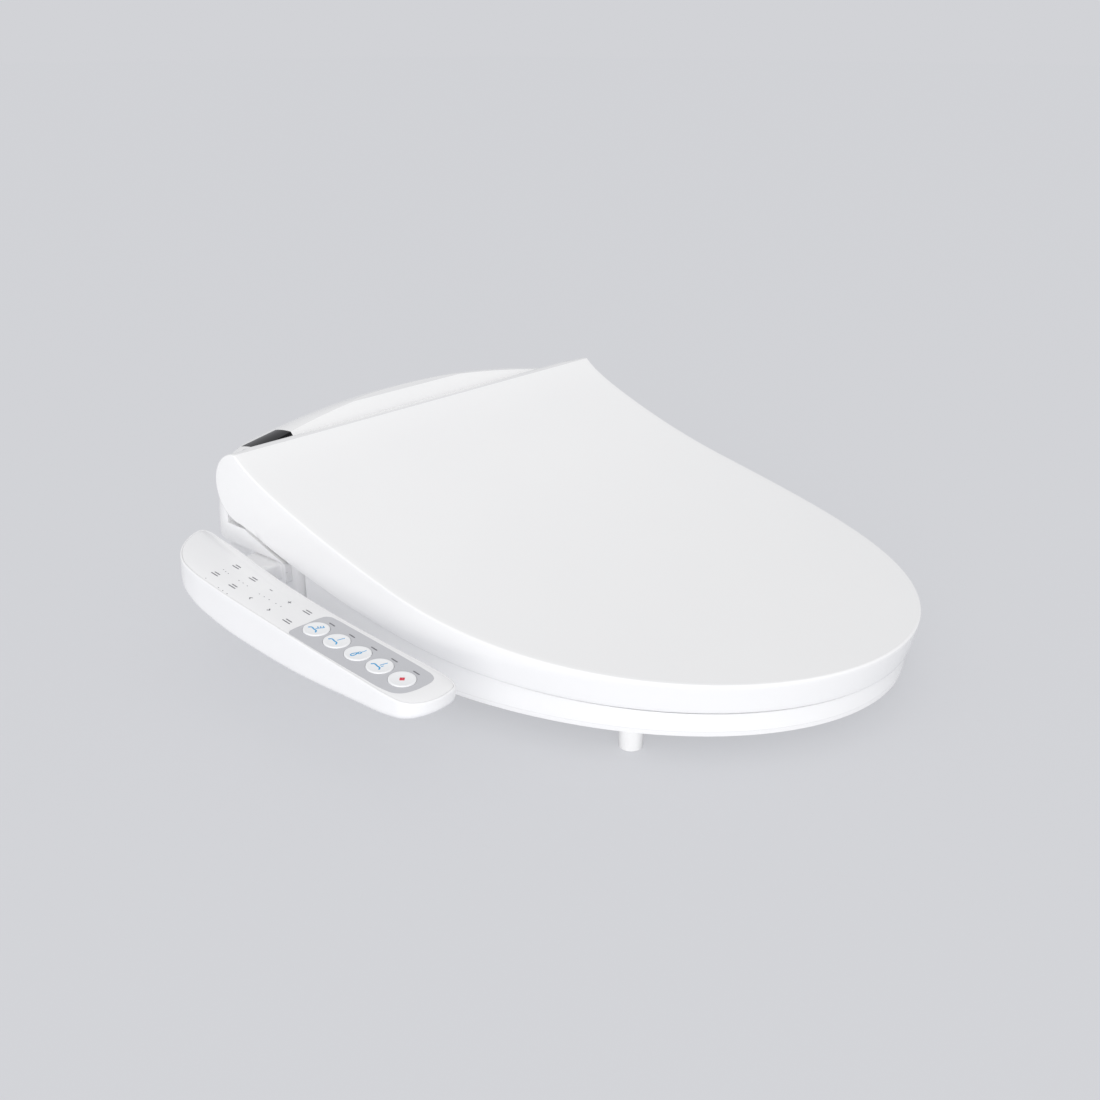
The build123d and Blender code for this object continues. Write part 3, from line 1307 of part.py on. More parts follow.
def transformer():
    low = FLOOR_Z + SEAT_GAP
    x0, x1 = BOARD_X0, BOARD_X0 + TRAFO_W
    core = box(x0, x1, TRAFO_Y0 + TRAFO_CORE_IN, TRAFO_Y1 - TRAFO_CORE_IN, low, low + TRAFO_H)
    z0, z1 = TRAFO_COIL_Z
    return core + box(x0 + TRAFO_COIL_IN, x1 - TRAFO_COIL_IN, TRAFO_Y0, TRAFO_Y1, low + z0, low + z1)


def cord_gland():
    out, inside = -BASE_W - GLAND_LIP_T, GLAND_LIP_T - BASE_INNER
    gland = rod_x(GLAND_Y, GLAND_Z, GLAND_R, out, inside)
    gland += rod_x(GLAND_Y, GLAND_Z, GLAND_R + GLAND_LIP, out, -BASE_W - SEAT_GAP)
    gland += rod_x(GLAND_Y, GLAND_Z, GLAND_R + GLAND_LIP, SEAT_GAP - BASE_INNER, inside)
    return gland - rod_x(GLAND_Y, GLAND_Z, CORD_R, out - OVER, inside + OVER)


def blower_case():
    low = FLOOR_Z + SEAT_GAP
    top = DUCT_Z1
    w = BLOWER_WALL
    case = rod_z(FAN_X, FAN_Y, BLOWER_R, low, top)
    case += box(DUCT_X0, DUCT_X1, DUCT_SPLIT_Y, FAN_Y, low, top)
    case -= rod_z(FAN_X, FAN_Y, BLOWER_R - w, low + w, top - w)
    case -= box(DUCT_X0 + w, DUCT_X1 - w, DUCT_SPLIT_Y - OVER, FAN_Y, low + w, top - w)
    case -= rod_z(FAN_X, FAN_Y, EYE_R, top - w - OVER, top + OVER)
    ring_z = top + RING_T
    leg_x = EYE_R + LEG_OUT
    arm_l = leg_x - RING_R + OVER
    leg = Pos(leg_x, 0, ring_z + RING_T - LEG_H / 2) * Box(LEG_W, LEG_W, LEG_H)
    leg += Pos(leg_x - arm_l / 2, 0, ring_z + RING_T / 2) * Box(arm_l, LEG_W, RING_T)
    for turn in LEG_TURNS:
        case += Pos(FAN_X, FAN_Y, 0) * Rot(0, 0, turn) * leg
    ring = rod_z(FAN_X, FAN_Y, RING_R, ring_z, ring_z + RING_T)
    return case + ring - rod_z(FAN_X, FAN_Y, RING_BORE, ring_z - OVER, ring_z + RING_T + OVER)


def fan_impeller():
    low = FLOOR_Z + BLOWER_WALL + FAN_FLOOR_GAP
    high = DUCT_Z1 - BLOWER_WALL - FAN_TOP_GAP
    wheel = rod_z(FAN_X, FAN_Y, FAN_R, low, low + FAN_DISC_T) + rod_z(FAN_X, FAN_Y, FAN_HUB_R, low, high)
    blade = Pos(FAN_R - BLADE_IN, 0, (low + high) / 2) * Rot(0, 0, BLADE_TURN)
    blade = blade * Box(BLADE_L, BLADE_T, high - low)
    for i in range(FAN_BLADES):
        wheel += Pos(FAN_X, FAN_Y, 0) * Rot(0, 0, 360 * i / FAN_BLADES) * blade
    return wheel + rod_z(FAN_X, FAN_Y, FAN_SHAFT_R, high - OVER, DUCT_Z1 + FAN_SHAFT_UP)


def blower_motor():
    low = DUCT_Z1 + 2 * RING_T + SEAT_GAP
    motor = rod_z(FAN_X, FAN_Y, BLOWER_MOTOR_R, low, low + BLOWER_MOTOR_H)
    motor = fillet(motor.edges().group_by(Axis.Z)[-1], BLOWER_MOTOR_EDGE)
    return motor - rod_z(FAN_X, FAN_Y, FAN_SHAFT_R + RUN_FIT, low - OVER, low + BLOWER_MOTOR_BORE)


def dryer_duct():
    w = BLOWER_WALL
    y0, y1 = FRONT_Y + CASE_WALL + DUCT_GAP, DUCT_SPLIT_Y - SEAT_GAP
    duct = box(DUCT_X0, DUCT_X1, y0, y1, DUCT_Z0, DUCT_Z1)
    duct -= box(DUCT_X0 + w, DUCT_X1 - w, y0 - OVER, y1 + OVER, DUCT_Z0 + w, DUCT_Z1 - w)
    y0, y1 = (y0 + y1 - DUCT_FOOT_L) / 2, (y0 + y1 + DUCT_FOOT_L) / 2
    x0, x1 = DUCT_X0 + DUCT_FOOT_IN, DUCT_X1 - DUCT_FOOT_IN
    return duct + box(x0, x1, y0, y1, FLOOR_Z + SEAT_GAP, DUCT_Z0 + w / 2)


def dryer_element():
    w = BLOWER_WALL + SEAT_GAP
    t = CARD_T / 2
    x, z = (DUCT_X0 + DUCT_X1) / 2, (DUCT_Z0 + DUCT_Z1) / 2
    element = box(DUCT_X0 + w, DUCT_X1 - w, COIL_Y0, COIL_Y1, z - t, z + t)
    element += box(x - t, x + t, COIL_Y0, COIL_Y1, DUCT_Z0 + w, DUCT_Z1 - w)
    for y in COIL_TURNS:
        element += Pos(x, y, z) * Rot(90, 0, 0) * Torus(COIL_RING_R, COIL_WIRE_R)
    return element


def dryer_flap():
    x0, x1 = DUCT_X0 + FLAP_SIDE, DUCT_X1 - FLAP_SIDE
    t = FLAP_T / 2
    flap = box(x0, x1, FLAP_Y - t, FLAP_Y + t, DUCT_Z0 + FLAP_LOW, FLAP_Z)
    flap += rod_x(FLAP_Y, FLAP_Z, FLAP_BARREL_R, x0, x1)
    return flap - rod_x(FLAP_Y, FLAP_Z, FLAP_PIN_R + RUN_FIT, x0 - OVER, x1 + OVER)


def flap_pin():
    return rod_x(FLAP_Y, FLAP_Z, FLAP_PIN_R, DUCT_X0 - FLAP_PIN_OUT, DUCT_X1 + FLAP_PIN_OUT)


PIECES = {
    "lid_shell": lid_shell,
    "lid_pads": lid_pads,
    "lid_hinge_pins": lid_pins,
    "seat_upper_shell": seat_shell,
    "seat_lower_plate": seat_plate,
    "seat_heater": seat_heater,
    "seat_bumpers": seat_bumpers,
    "seat_hinge_bushes": seat_bushes,
    "upper_case": upper_case,
    "sensor_window": sensor_window,
    "base_case": base_case,
    "mounting_plate": mounting_plate,
    "plate_adjusters": plate_adjusters,
    "base_feet": base_feet,
    "case_screws": case_screws,
    "hinge_brackets": hinge_brackets,
    "bracket_screws": bracket_screws,
    "hinge_dampers": hinge_dampers,
    "panel_case": panel_case,
    "panel_top": panel_top,
    "key_field": key_field,
    "panel_board": panel_board,
    "panel_switches": panel_switches,
    "panel_screws": panel_screws,
    "nozzle_cradle": nozzle_cradle,
    "nozzle_motors": nozzle_motors,
    "water_inlet": water_inlet,
    "inlet_valve": inlet_valve,
    "valve_coil": valve_coil,
    "heater_tank": heater_tank,
    "tank_cover": tank_cover,
    "tank_element": tank_element,
    "supply_hose": supply_hose,
    "wash_hose": wash_hose,
    "diverter_valve": diverter_valve,
    "diverter_motor": diverter_motor,
    "main_board": main_board,
    "board_screws": board_screws,
    "transformer": transformer,
    "cord_gland": cord_gland,
    "blower_case": blower_case,
    "fan_impeller": fan_impeller,
    "blower_motor": blower_motor,
    "dryer_duct": dryer_duct,
    "dryer_element": dryer_element,
    "dryer_flap": dryer_flap,
    "flap_pin": flap_pin,
}

for name, make in PIECES.items():
    save(name, make())
for i, name in enumerate(KEY_NAMES):
    save(name, key_cap(i))
for side, name, jets in ((-1, "rear", JETS_REAR), (1, "front", JETS_FRONT)):
    save(f"{name}_nozzle", nozzle_tube(side))
    save(f"{name}_nozzle_tip", nozzle_tip(side, jets))
    save(f"{name}_pinion", pinion(side))
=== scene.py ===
import json
import bmesh
import bpy
import numpy as np
from math import pi, radians
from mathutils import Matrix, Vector


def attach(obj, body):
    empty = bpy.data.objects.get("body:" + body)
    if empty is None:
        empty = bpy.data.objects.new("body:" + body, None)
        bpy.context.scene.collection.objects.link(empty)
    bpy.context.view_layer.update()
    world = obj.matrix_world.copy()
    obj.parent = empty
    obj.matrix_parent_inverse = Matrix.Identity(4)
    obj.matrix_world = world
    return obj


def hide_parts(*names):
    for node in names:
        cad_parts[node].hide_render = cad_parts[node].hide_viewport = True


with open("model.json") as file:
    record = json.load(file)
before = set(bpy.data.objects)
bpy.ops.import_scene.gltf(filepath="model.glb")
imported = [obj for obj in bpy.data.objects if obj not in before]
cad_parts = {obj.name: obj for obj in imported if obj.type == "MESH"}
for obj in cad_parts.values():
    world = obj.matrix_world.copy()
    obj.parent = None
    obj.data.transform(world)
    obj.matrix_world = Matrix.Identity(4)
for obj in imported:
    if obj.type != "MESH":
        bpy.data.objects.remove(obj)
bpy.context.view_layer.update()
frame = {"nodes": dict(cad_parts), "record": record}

nodes = frame["nodes"]
scene = bpy.context.scene
scene.view_settings.view_transform = "Standard"
mm = 0.001
print("frame loaded:", len(nodes), "nodes")

shot = {
    "place": (-0.6673, -0.7721, 0.4098),
    "looksAt": (-0.0826, -0.2480, 0.0847),
    "lens": 40.66,
    "sensor": 36.0,
    "nearest": 0.01,
}


def aimAt(thing, place, target):
    thing.location = place
    thing.rotation_euler = (Vector(target) - Vector(place)).to_track_quat("-Z", "Y").to_euler()


def makeCamera():
    data = bpy.data.cameras.new("shotCamera")
    data.lens = shot["lens"]
    data.sensor_width = shot["sensor"]
    data.clip_start = shot["nearest"]
    camera = bpy.data.objects.new("shotCamera", data)
    scene.collection.objects.link(camera)
    aimAt(camera, shot["place"], shot["looksAt"])
    scene.camera = camera


makeCamera()
print("camera set")

studio = {
    "backdrop": (0.644, 0.651, 0.679),
    "ambient": 0.75,
    "floorColour": (0.73, 0.74, 0.774),
    "floorGlow": 0.72,    # share of the floor's look that its shadow leaves alone
    "floorSize": 40.0,
    "floorZ": -0.0003,    # just below the feet
    "sunFrom": (-0.78, -0.50, 0.36),
    "sunStrength": 0.97,
    "sunSoftness": 40.0,
    "boxFrom": (-1.35, -1.35, 0.35),
    "boxAt": (0.0, -0.25, 0.06),
    "boxSize": 1.3,
    "boxPower": 6.0,
}


def seenRays(tree):
    # 1 for rays from the camera and for mirrored or refracted ones, else 0
    path = tree.nodes.new("ShaderNodeLightPath")
    most = path.outputs["Is Camera Ray"]
    for ray in ("Is Glossy Ray", "Is Transmission Ray"):
        bigger = tree.nodes.new("ShaderNodeMath")
        bigger.operation = "MAXIMUM"
        tree.links.new(most, bigger.inputs[0])
        tree.links.new(path.outputs[ray], bigger.inputs[1])
        most = bigger.outputs[0]
    return most


def makeSky():
    world = bpy.data.worlds.new("studioWorld")
    scene.world = world
    world.use_nodes = True
    tree = world.node_tree
    tree.nodes.clear()
    out = tree.nodes.new("ShaderNodeOutputWorld")
    mix = tree.nodes.new("ShaderNodeMixShader")
    lamp = tree.nodes.new("ShaderNodeBackground")
    lamp.inputs["Strength"].default_value = studio["ambient"]
    lamp.inputs["Color"].default_value = (1, 1, 1, 1)
    seen = tree.nodes.new("ShaderNodeBackground")
    seen.inputs["Color"].default_value = (*studio["backdrop"], 1)
    tree.links.new(seenRays(tree), mix.inputs[0])
    tree.links.new(lamp.outputs[0], mix.inputs[1])
    tree.links.new(seen.outputs[0], mix.inputs[2])
    tree.links.new(mix.outputs[0], out.inputs[0])


def makeLamps():
    # a wide soft sun and one softbox, both from the front left
    sun = bpy.data.lights.new("softSun", "SUN")
    sun.energy = studio["sunStrength"]
    sun.angle = radians(studio["sunSoftness"])
    sunLamp = bpy.data.objects.new("softSun", sun)
    scene.collection.objects.link(sunLamp)
    aimAt(sunLamp, studio["sunFrom"], (0, 0, 0))
    box = bpy.data.lights.new("softBox", "AREA")
    box.energy = studio["boxPower"]
    box.size = studio["boxSize"]
    boxLamp = bpy.data.objects.new("softBox", box)
    boxLamp.visible_camera = False
    scene.collection.objects.link(boxLamp)
    aimAt(boxLamp, studio["boxFrom"], studio["boxAt"])


def makeFloor():
    # matt paint that takes the shadow, mixed with a plain glow in the backdrop's colour
    half = studio["floorSize"] / 2
    mesh = bpy.data.meshes.new("studioFloor")
    corners = [(-half, -half, 0), (half, -half, 0), (half, half, 0), (-half, half, 0)]
    mesh.from_pydata(corners, [], [(0, 1, 2, 3)])
    floor = bpy.data.objects.new("studioFloor", mesh)
    floor.location.z = studio["floorZ"]
    scene.collection.objects.link(floor)
    paint = bpy.data.materials.new("floorPaint")
    paint.use_nodes = True
    tree = paint.node_tree
    tree.nodes.clear()
    out = tree.nodes.new("ShaderNodeOutputMaterial")
    matt = tree.nodes.new("ShaderNodeBsdfDiffuse")
    matt.inputs["Color"].default_value = (*studio["floorColour"], 1)
    glow = tree.nodes.new("ShaderNodeEmission")
    glow.inputs["Color"].default_value = (*studio["backdrop"], 1)
    share = tree.nodes.new("ShaderNodeMath")
    share.operation = "MULTIPLY"
    share.inputs[1].default_value = studio["floorGlow"]
    mix = tree.nodes.new("ShaderNodeMixShader")
    tree.links.new(seenRays(tree), share.inputs[0])
    tree.links.new(share.outputs[0], mix.inputs[0])
    tree.links.new(matt.outputs[0], mix.inputs[1])
    tree.links.new(glow.outputs[0], mix.inputs[2])
    tree.links.new(mix.outputs[0], out.inputs[0])
    mesh.materials.append(paint)


makeSky()
makeLamps()
makeFloor()
print("studio set")

surface = {
    "cloudDetail": 3.0,
    "grainDetail": 2.0,
    "grainSpread": 0.03,
    "grainScale": 2200.0,
    "strokeDetail": 4.0,
    "strokeStretch": (0.04, 1.0, 1.0),
    "relief": 0.03,
    "grainRelief": 0.12,
    "reliefDepth": 0.0002,
    "shine": 0.5,
    "coatRoughness": 0.06,
}


def newGroup(name, wants, gives):
    group = bpy.data.node_groups.new(name, "ShaderNodeTree")
    for label, start in wants:
        socket = group.interface.new_socket(label, in_out="INPUT", socket_type="NodeSocketFloat")
        socket.default_value = start
    for label in gives:
        group.interface.new_socket(label, in_out="OUTPUT", socket_type="NodeSocketFloat")
    return group, group.nodes.new("NodeGroupInput"), group.nodes.new("NodeGroupOutput")


def addMath(tree, kind, a, b):
    step = tree.nodes.new("ShaderNodeMath")
    step.operation = kind
    for i, value in enumerate((a, b)):
        if isinstance(value, (int, float)):
            step.inputs[i].default_value = value
        else:
            tree.links.new(value, step.inputs[i])
    return step.outputs[0]


def addNoise(tree, where, scale, detail):
    noise = tree.nodes.new("ShaderNodeTexNoise")
    noise.inputs["Detail"].default_value = detail
    tree.links.new(where, noise.inputs["Vector"])
    tree.links.new(scale, noise.inputs["Scale"])
    return noise.outputs["Fac"]


def addSwing(tree, noise, reach):
    # the noise about its middle, times reach
    return addMath(tree, "MULTIPLY", addMath(tree, "SUBTRACT", noise, 0.5), reach)


def makeMouldedSkin():
    # slow clouds for tone and gloss, plus a fine grain for the relief
    wants = (("Cloud Scale", 9.0), ("Grain Scale", 1800.0), ("Gloss", 0.2), ("Gloss Spread", 0.06))
    group, given, result = newGroup("mouldedSkin", wants, ("Tone", "Roughness", "Height"))
    where = group.nodes.new("ShaderNodeTexCoord").outputs["Object"]
    cloud = addNoise(group, where, given.outputs["Cloud Scale"], surface["cloudDetail"])
    grain = addNoise(group, where, given.outputs["Grain Scale"], surface["grainDetail"])
    swing = addSwing(group, cloud, given.outputs["Gloss Spread"])
    fine = addSwing(group, grain, surface["grainSpread"])
    rough = addMath(group, "ADD", addMath(group, "ADD", given.outputs["Gloss"], swing), fine)
    group.links.new(cloud, result.inputs["Tone"])
    group.links.new(rough, result.inputs["Roughness"])
    group.links.new(grain, result.inputs["Height"])
    return group


def makeBrushedMetal():
    # noise drawn out along X, so that the strokes run one way
    wants = (("Stroke Scale", 900.0), ("Gloss", 0.3), ("Gloss Spread", 0.2))
    group, given, result = newGroup("brushedMetal", wants, ("Tone", "Roughness", "Height"))
    where = group.nodes.new("ShaderNodeTexCoord").outputs["Object"]
    stretch = group.nodes.new("ShaderNodeMapping")
    stretch.inputs["Scale"].default_value = surface["strokeStretch"]
    group.links.new(where, stretch.inputs["Vector"])
    stroke = addNoise(group, stretch.outputs[0], given.outputs["Stroke Scale"], surface["strokeDetail"])
    swing = addSwing(group, stroke, given.outputs["Gloss Spread"])
    group.links.new(stroke, result.inputs["Tone"])
    group.links.new(addMath(group, "ADD", given.outputs["Gloss"], swing), result.inputs["Roughness"])
    group.links.new(stroke, result.inputs["Height"])
    return group


mouldedSkin = makeMouldedSkin()
brushedMetal = makeBrushedMetal()

finishes = {
    "shell_white": {"pale": (0.93, 0.93, 0.935), "deep": (0.905, 0.905, 0.915), "gloss": 0.17, "coat": 0.35},
    "base_white": {"pale": (0.90, 0.90, 0.905), "deep": (0.86, 0.86, 0.87), "gloss": 0.38, "grain": 900.0},
    "panel_white": {"pale": (0.92, 0.92, 0.93), "deep": (0.895, 0.895, 0.91), "gloss": 0.24, "coat": 0.2},
    "key_white": {"pale": (0.92, 0.925, 0.94), "deep": (0.89, 0.90, 0.92), "gloss": 0.30},
    "field_grey": {"pale": (0.60, 0.605, 0.635), "deep": (0.55, 0.555, 0.585), "gloss": 0.35},
    "window_black": {"pale": (0.012, 0.012, 0.014), "deep": (0.006, 0.006, 0.007), "gloss": 0.12,
                     "shine": 0.08},
    "pad_white": {"pale": (0.90, 0.90, 0.90), "deep": (0.84, 0.84, 0.84), "gloss": 0.55, "grain": 1200.0},
    "foot_black": {"pale": (0.05, 0.05, 0.05), "deep": (0.03, 0.03, 0.03), "gloss": 0.75, "grain": 1200.0},
    "hose_grey": {"pale": (0.32, 0.32, 0.33), "deep": (0.26, 0.26, 0.27), "gloss": 0.6, "grain": 1200.0},
    "inner_plastic": {"pale": (0.68, 0.68, 0.66), "deep": (0.60, 0.60, 0.58), "gloss": 0.45, "grain": 1000.0},
    "nozzle_white": {"pale": (0.88, 0.88, 0.89), "deep": (0.83, 0.83, 0.84), "gloss": 0.25},
    "gear_plastic": {"pale": (0.82, 0.80, 0.72), "deep": (0.76, 0.73, 0.64), "gloss": 0.4},
    "dark_plastic": {"pale": (0.09, 0.09, 0.10), "deep": (0.06, 0.06, 0.07), "gloss": 0.45, "grain": 1000.0},
    "board_green": {"pale": (0.05, 0.24, 0.11), "deep": (0.03, 0.17, 0.07), "gloss": 0.35},
    "steel": {"pale": (0.68, 0.68, 0.69), "deep": (0.52, 0.52, 0.53), "gloss": 0.3, "metal": True},
    "brass": {"pale": (0.76, 0.60, 0.32), "deep": (0.62, 0.47, 0.22), "gloss": 0.3, "metal": True},
    "foil": {"pale": (0.80, 0.80, 0.82), "deep": (0.66, 0.66, 0.68), "gloss": 0.35, "metal": True},
    "print_blue": {"pale": (0.06, 0.42, 0.78), "deep": (0.05, 0.36, 0.70), "gloss": 0.4},
    "print_red": {"pale": (0.80, 0.04, 0.08), "deep": (0.72, 0.03, 0.06), "gloss": 0.4},
    "print_grey": {"pale": (0.22, 0.22, 0.24), "deep": (0.17, 0.17, 0.19), "gloss": 0.5},
    "print_pale": {"pale": (0.24, 0.25, 0.27), "deep": (0.20, 0.20, 0.22), "gloss": 0.5},
}


def makeFinish(name, look):
    material = bpy.data.materials.new(name)
    material.use_nodes = True
    tree = material.node_tree
    shader = tree.nodes["Principled BSDF"]
    skin = tree.nodes.new("ShaderNodeGroup")
    metal = look.get("metal", False)
    skin.node_tree = brushedMetal if metal else mouldedSkin
    skin.inputs["Gloss"].default_value = look["gloss"]
    if not metal:
        skin.inputs["Grain Scale"].default_value = look.get("grain", surface["grainScale"])
    tint = tree.nodes.new("ShaderNodeMix")
    tint.data_type = "RGBA"
    tint.inputs["A"].default_value = (*look["deep"], 1)
    tint.inputs["B"].default_value = (*look["pale"], 1)
    relief = tree.nodes.new("ShaderNodeBump")
    rough = metal or "grain" in look
    relief.inputs["Strength"].default_value = surface["grainRelief" if rough else "relief"]
    relief.inputs["Distance"].default_value = surface["reliefDepth"]
    tree.links.new(skin.outputs["Tone"], tint.inputs["Factor"])
    tree.links.new(tint.outputs["Result"], shader.inputs["Base Color"])
    tree.links.new(skin.outputs["Roughness"], shader.inputs["Roughness"])
    tree.links.new(skin.outputs["Height"], relief.inputs["Height"])
    tree.links.new(relief.outputs["Normal"], shader.inputs["Normal"])
    shader.inputs["Metallic"].default_value = 1.0 if metal else 0.0
    shader.inputs["Specular IOR Level"].default_value = look.get("shine", surface["shine"])
    shader.inputs["Coat Weight"].default_value = look.get("coat", 0.0)
    shader.inputs["Coat Roughness"].default_value = surface["coatRoughness"]
    return material


paints = {name: makeFinish(name, look) for name, look in finishes.items()}
print("finishes made:", len(paints))

softEdges = {    # width of the rounding, mm
    "seat_upper_shell": 2.0,
    "upper_case": 1.0,
    "base_case": 0.8,
    "sensor_window": 0.2,
    "seat_bumpers": 0.8,
    "mounting_plate": 0.6,
    "base_feet": 0.6,
    "hinge_brackets": 0.6,
    "water_inlet": 0.4,
    "cord_gland": 0.5,
}
softening = {
    "weld": 0.000002,
    "segments": 3,
    "angle": 32.0,
}


def dressNode(name, slotName):
    piece = nodes[name]
    piece.data.materials.clear()
    piece.data.materials.append(paints[slotName])
    if name not in softEdges:
        return
    weld = piece.modifiers.new("weld", "WELD")
    weld.merge_threshold = softening["weld"]
    edge = piece.modifiers.new("softEdge", "BEVEL")
    edge.width = softEdges[name] * mm
    edge.segments = softening["segments"]
    edge.limit_method = "ANGLE"
    edge.angle_limit = radians(softening["angle"])
    edge.use_clamp_overlap = True
    edge.face_strength_mode = "FSTR_ALL"    # flat faces keep their shade next to a rounded edge
    even = piece.modifiers.new("evenShade", "WEIGHTED_NORMAL")
    even.keep_sharp = True
    even.use_face_influence = True


for row in frame["record"]["subparts"]:
    dressNode(row["node"], row["material_slot"])
print("nodes dressed")

joins = {
    "merge": 0.00001,    # points closer than this become one
    "sliver": 0.000001,
}


def gridFaces(rows, cols, start):
    # one quad between each two neighbouring rows and columns of points
    i = np.arange(rows - 1)[:, None] * cols
    j = np.arange(cols - 1)[None, :]
    quads = np.stack([i + j, i + j + 1, i + j + cols + 1, i + j + cols], axis=-1)
    return quads.reshape(-1, 4) + start


def addPiece(name, grids, paint, body, stands=(), sharp=40.0, mirrored=False):
    # grids are point arrays (rows, columns, xyz) in mm; where their borders meet they become one skin
    points, faces, start = [], [], 0
    for grid in grids:
        rows, cols = grid.shape[:2]
        points.append(grid.reshape(-1, 3))
        faces.append(gridFaces(rows, cols, start))
        start += rows * cols
    points, faces = np.concatenate(points) * mm, np.concatenate(faces)
    if mirrored:
        faces = np.concatenate([faces, faces[:, ::-1] + start])
        points = np.concatenate([points, points * (-1, 1, 1)])
    mesh = bpy.data.meshes.new(name)
    mesh.from_pydata(points.tolist(), [], faces.tolist())
    work = bmesh.new()
    work.from_mesh(mesh)
    bmesh.ops.remove_doubles(work, verts=work.verts, dist=joins["merge"])
    bmesh.ops.dissolve_degenerate(work, edges=work.edges, dist=joins["sliver"])
    bmesh.ops.recalc_face_normals(work, faces=work.faces)
    work.to_mesh(mesh)
    work.free()
    mesh.polygons.foreach_set("use_smooth", np.ones(len(mesh.polygons), dtype=bool))
    mesh.set_sharp_from_angle(angle=radians(sharp))
    mesh.materials.append(paints[paint])
    piece = bpy.data.objects.new(name, mesh)
    scene.collection.objects.link(piece)
    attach(piece, body)
    if stands:
        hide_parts(*stands)
    return piece


def spread(*parts):
    # three coordinate arrays as points
    return np.stack(np.broadcast_arrays(*parts), axis=-1).astype(float)


def ease(s):
    # an S curve from 0 to 1
    return s * s * (3 - 2 * s)


def cubic(s):
    # weights of a cubic's two ends, then of its slopes there
    return (1 + 2 * s) * (1 - s) ** 2, ease(s), s * (1 - s) ** 2, s * s * (s - 1)


def walked(line):
    # the length of a line up to each of its points
    return np.concatenate([[0], np.cumsum(np.linalg.norm(np.diff(line, axis=0), axis=1))])


lid = {
    "hingeY": -47.0,
    "hingeZ": 109.0,
    "length": 421.0,    # hinge line to front tip
    "frontZ": 52.9,
    "rise": 78.0,
    "power": 2.55,
    "ridge": 4.6,
    "ridgePower": 40.0,
    "midY": -203.4,    # the front ellipse starts here
    "midWidth": 190.1,
    "rearY": -15.5,
    "rearWidth": 193.7,
    "skirtZ": 31.3,
    "skirtRise": 52.0,
    "skirtPower": 2.9,
    "lean": 4.7,
    "lobe": 26.5,    # round rear about the hinge line
    "swell": 1.1,    # the roll grows by this behind its top
    "swellTurn": 0.5,    # over this turn, in radians
    "swellSide": 0.985,    # and this share of the way to the cheeks
    "lobeEnd": -96.0,
    "rollEnd": 30.0,
    "runY": -59.0,    # the lower edge runs straight from here to the round cheek
    "cheek": 178.5,
    "wall": 3.0,
    "thickY": -76.0,    # from here the wall thickens to the full cheek
    "thickRun": 16.0,
    "top": 3.3,
    "edge": 1.4,    # rounding of the rim
    "lip": 1.1,
    "rows": (56, 36, 6, 18, 32),    # front, side, lower run, roll, cheek
    "columns": (15, 4, 6, 9, 9, 7),    # top, cheek top, rim, skirt, lip, inner side
    "sharp": 38.0,
}


def lidHeight(y):
    # two powers of the distance to the front tip: a long fall and a short ridge
    left = 1 - np.clip((lid["hingeY"] - y) / lid["length"], 0, 1)
    return lid["frontZ"] + lid["rise"] * left ** lid["power"] + lid["ridge"] * left ** lid["ridgePower"]


def skirtHeight(y):
    left = 1 - np.clip((lid["hingeY"] - y) / lid["length"], 0, 1)
    return lid["skirtZ"] + lid["skirtRise"] * left ** lid["skirtPower"]


def sideWidth(y):
    # half width of the sides: an S curve from the waist to the rear
    s = np.clip((y - lid["midY"]) / (lid["rearY"] - lid["midY"]), 0, 1)
    return lid["midWidth"] + (lid["rearWidth"] - lid["midWidth"]) * ease(s)


def planLine(turn, y, inset):
    # the plan outline moved in: an ellipse where turn is under a right angle, the side curve after it
    reach = lid["length"] + lid["midY"] - lid["hingeY"]
    front = turn < pi / 2
    x = np.where(front, (lid["midWidth"] - inset) * np.sin(turn), sideWidth(y) - inset)
    return x, np.where(front, lid["midY"] - (reach - inset) * np.cos(turn), y)


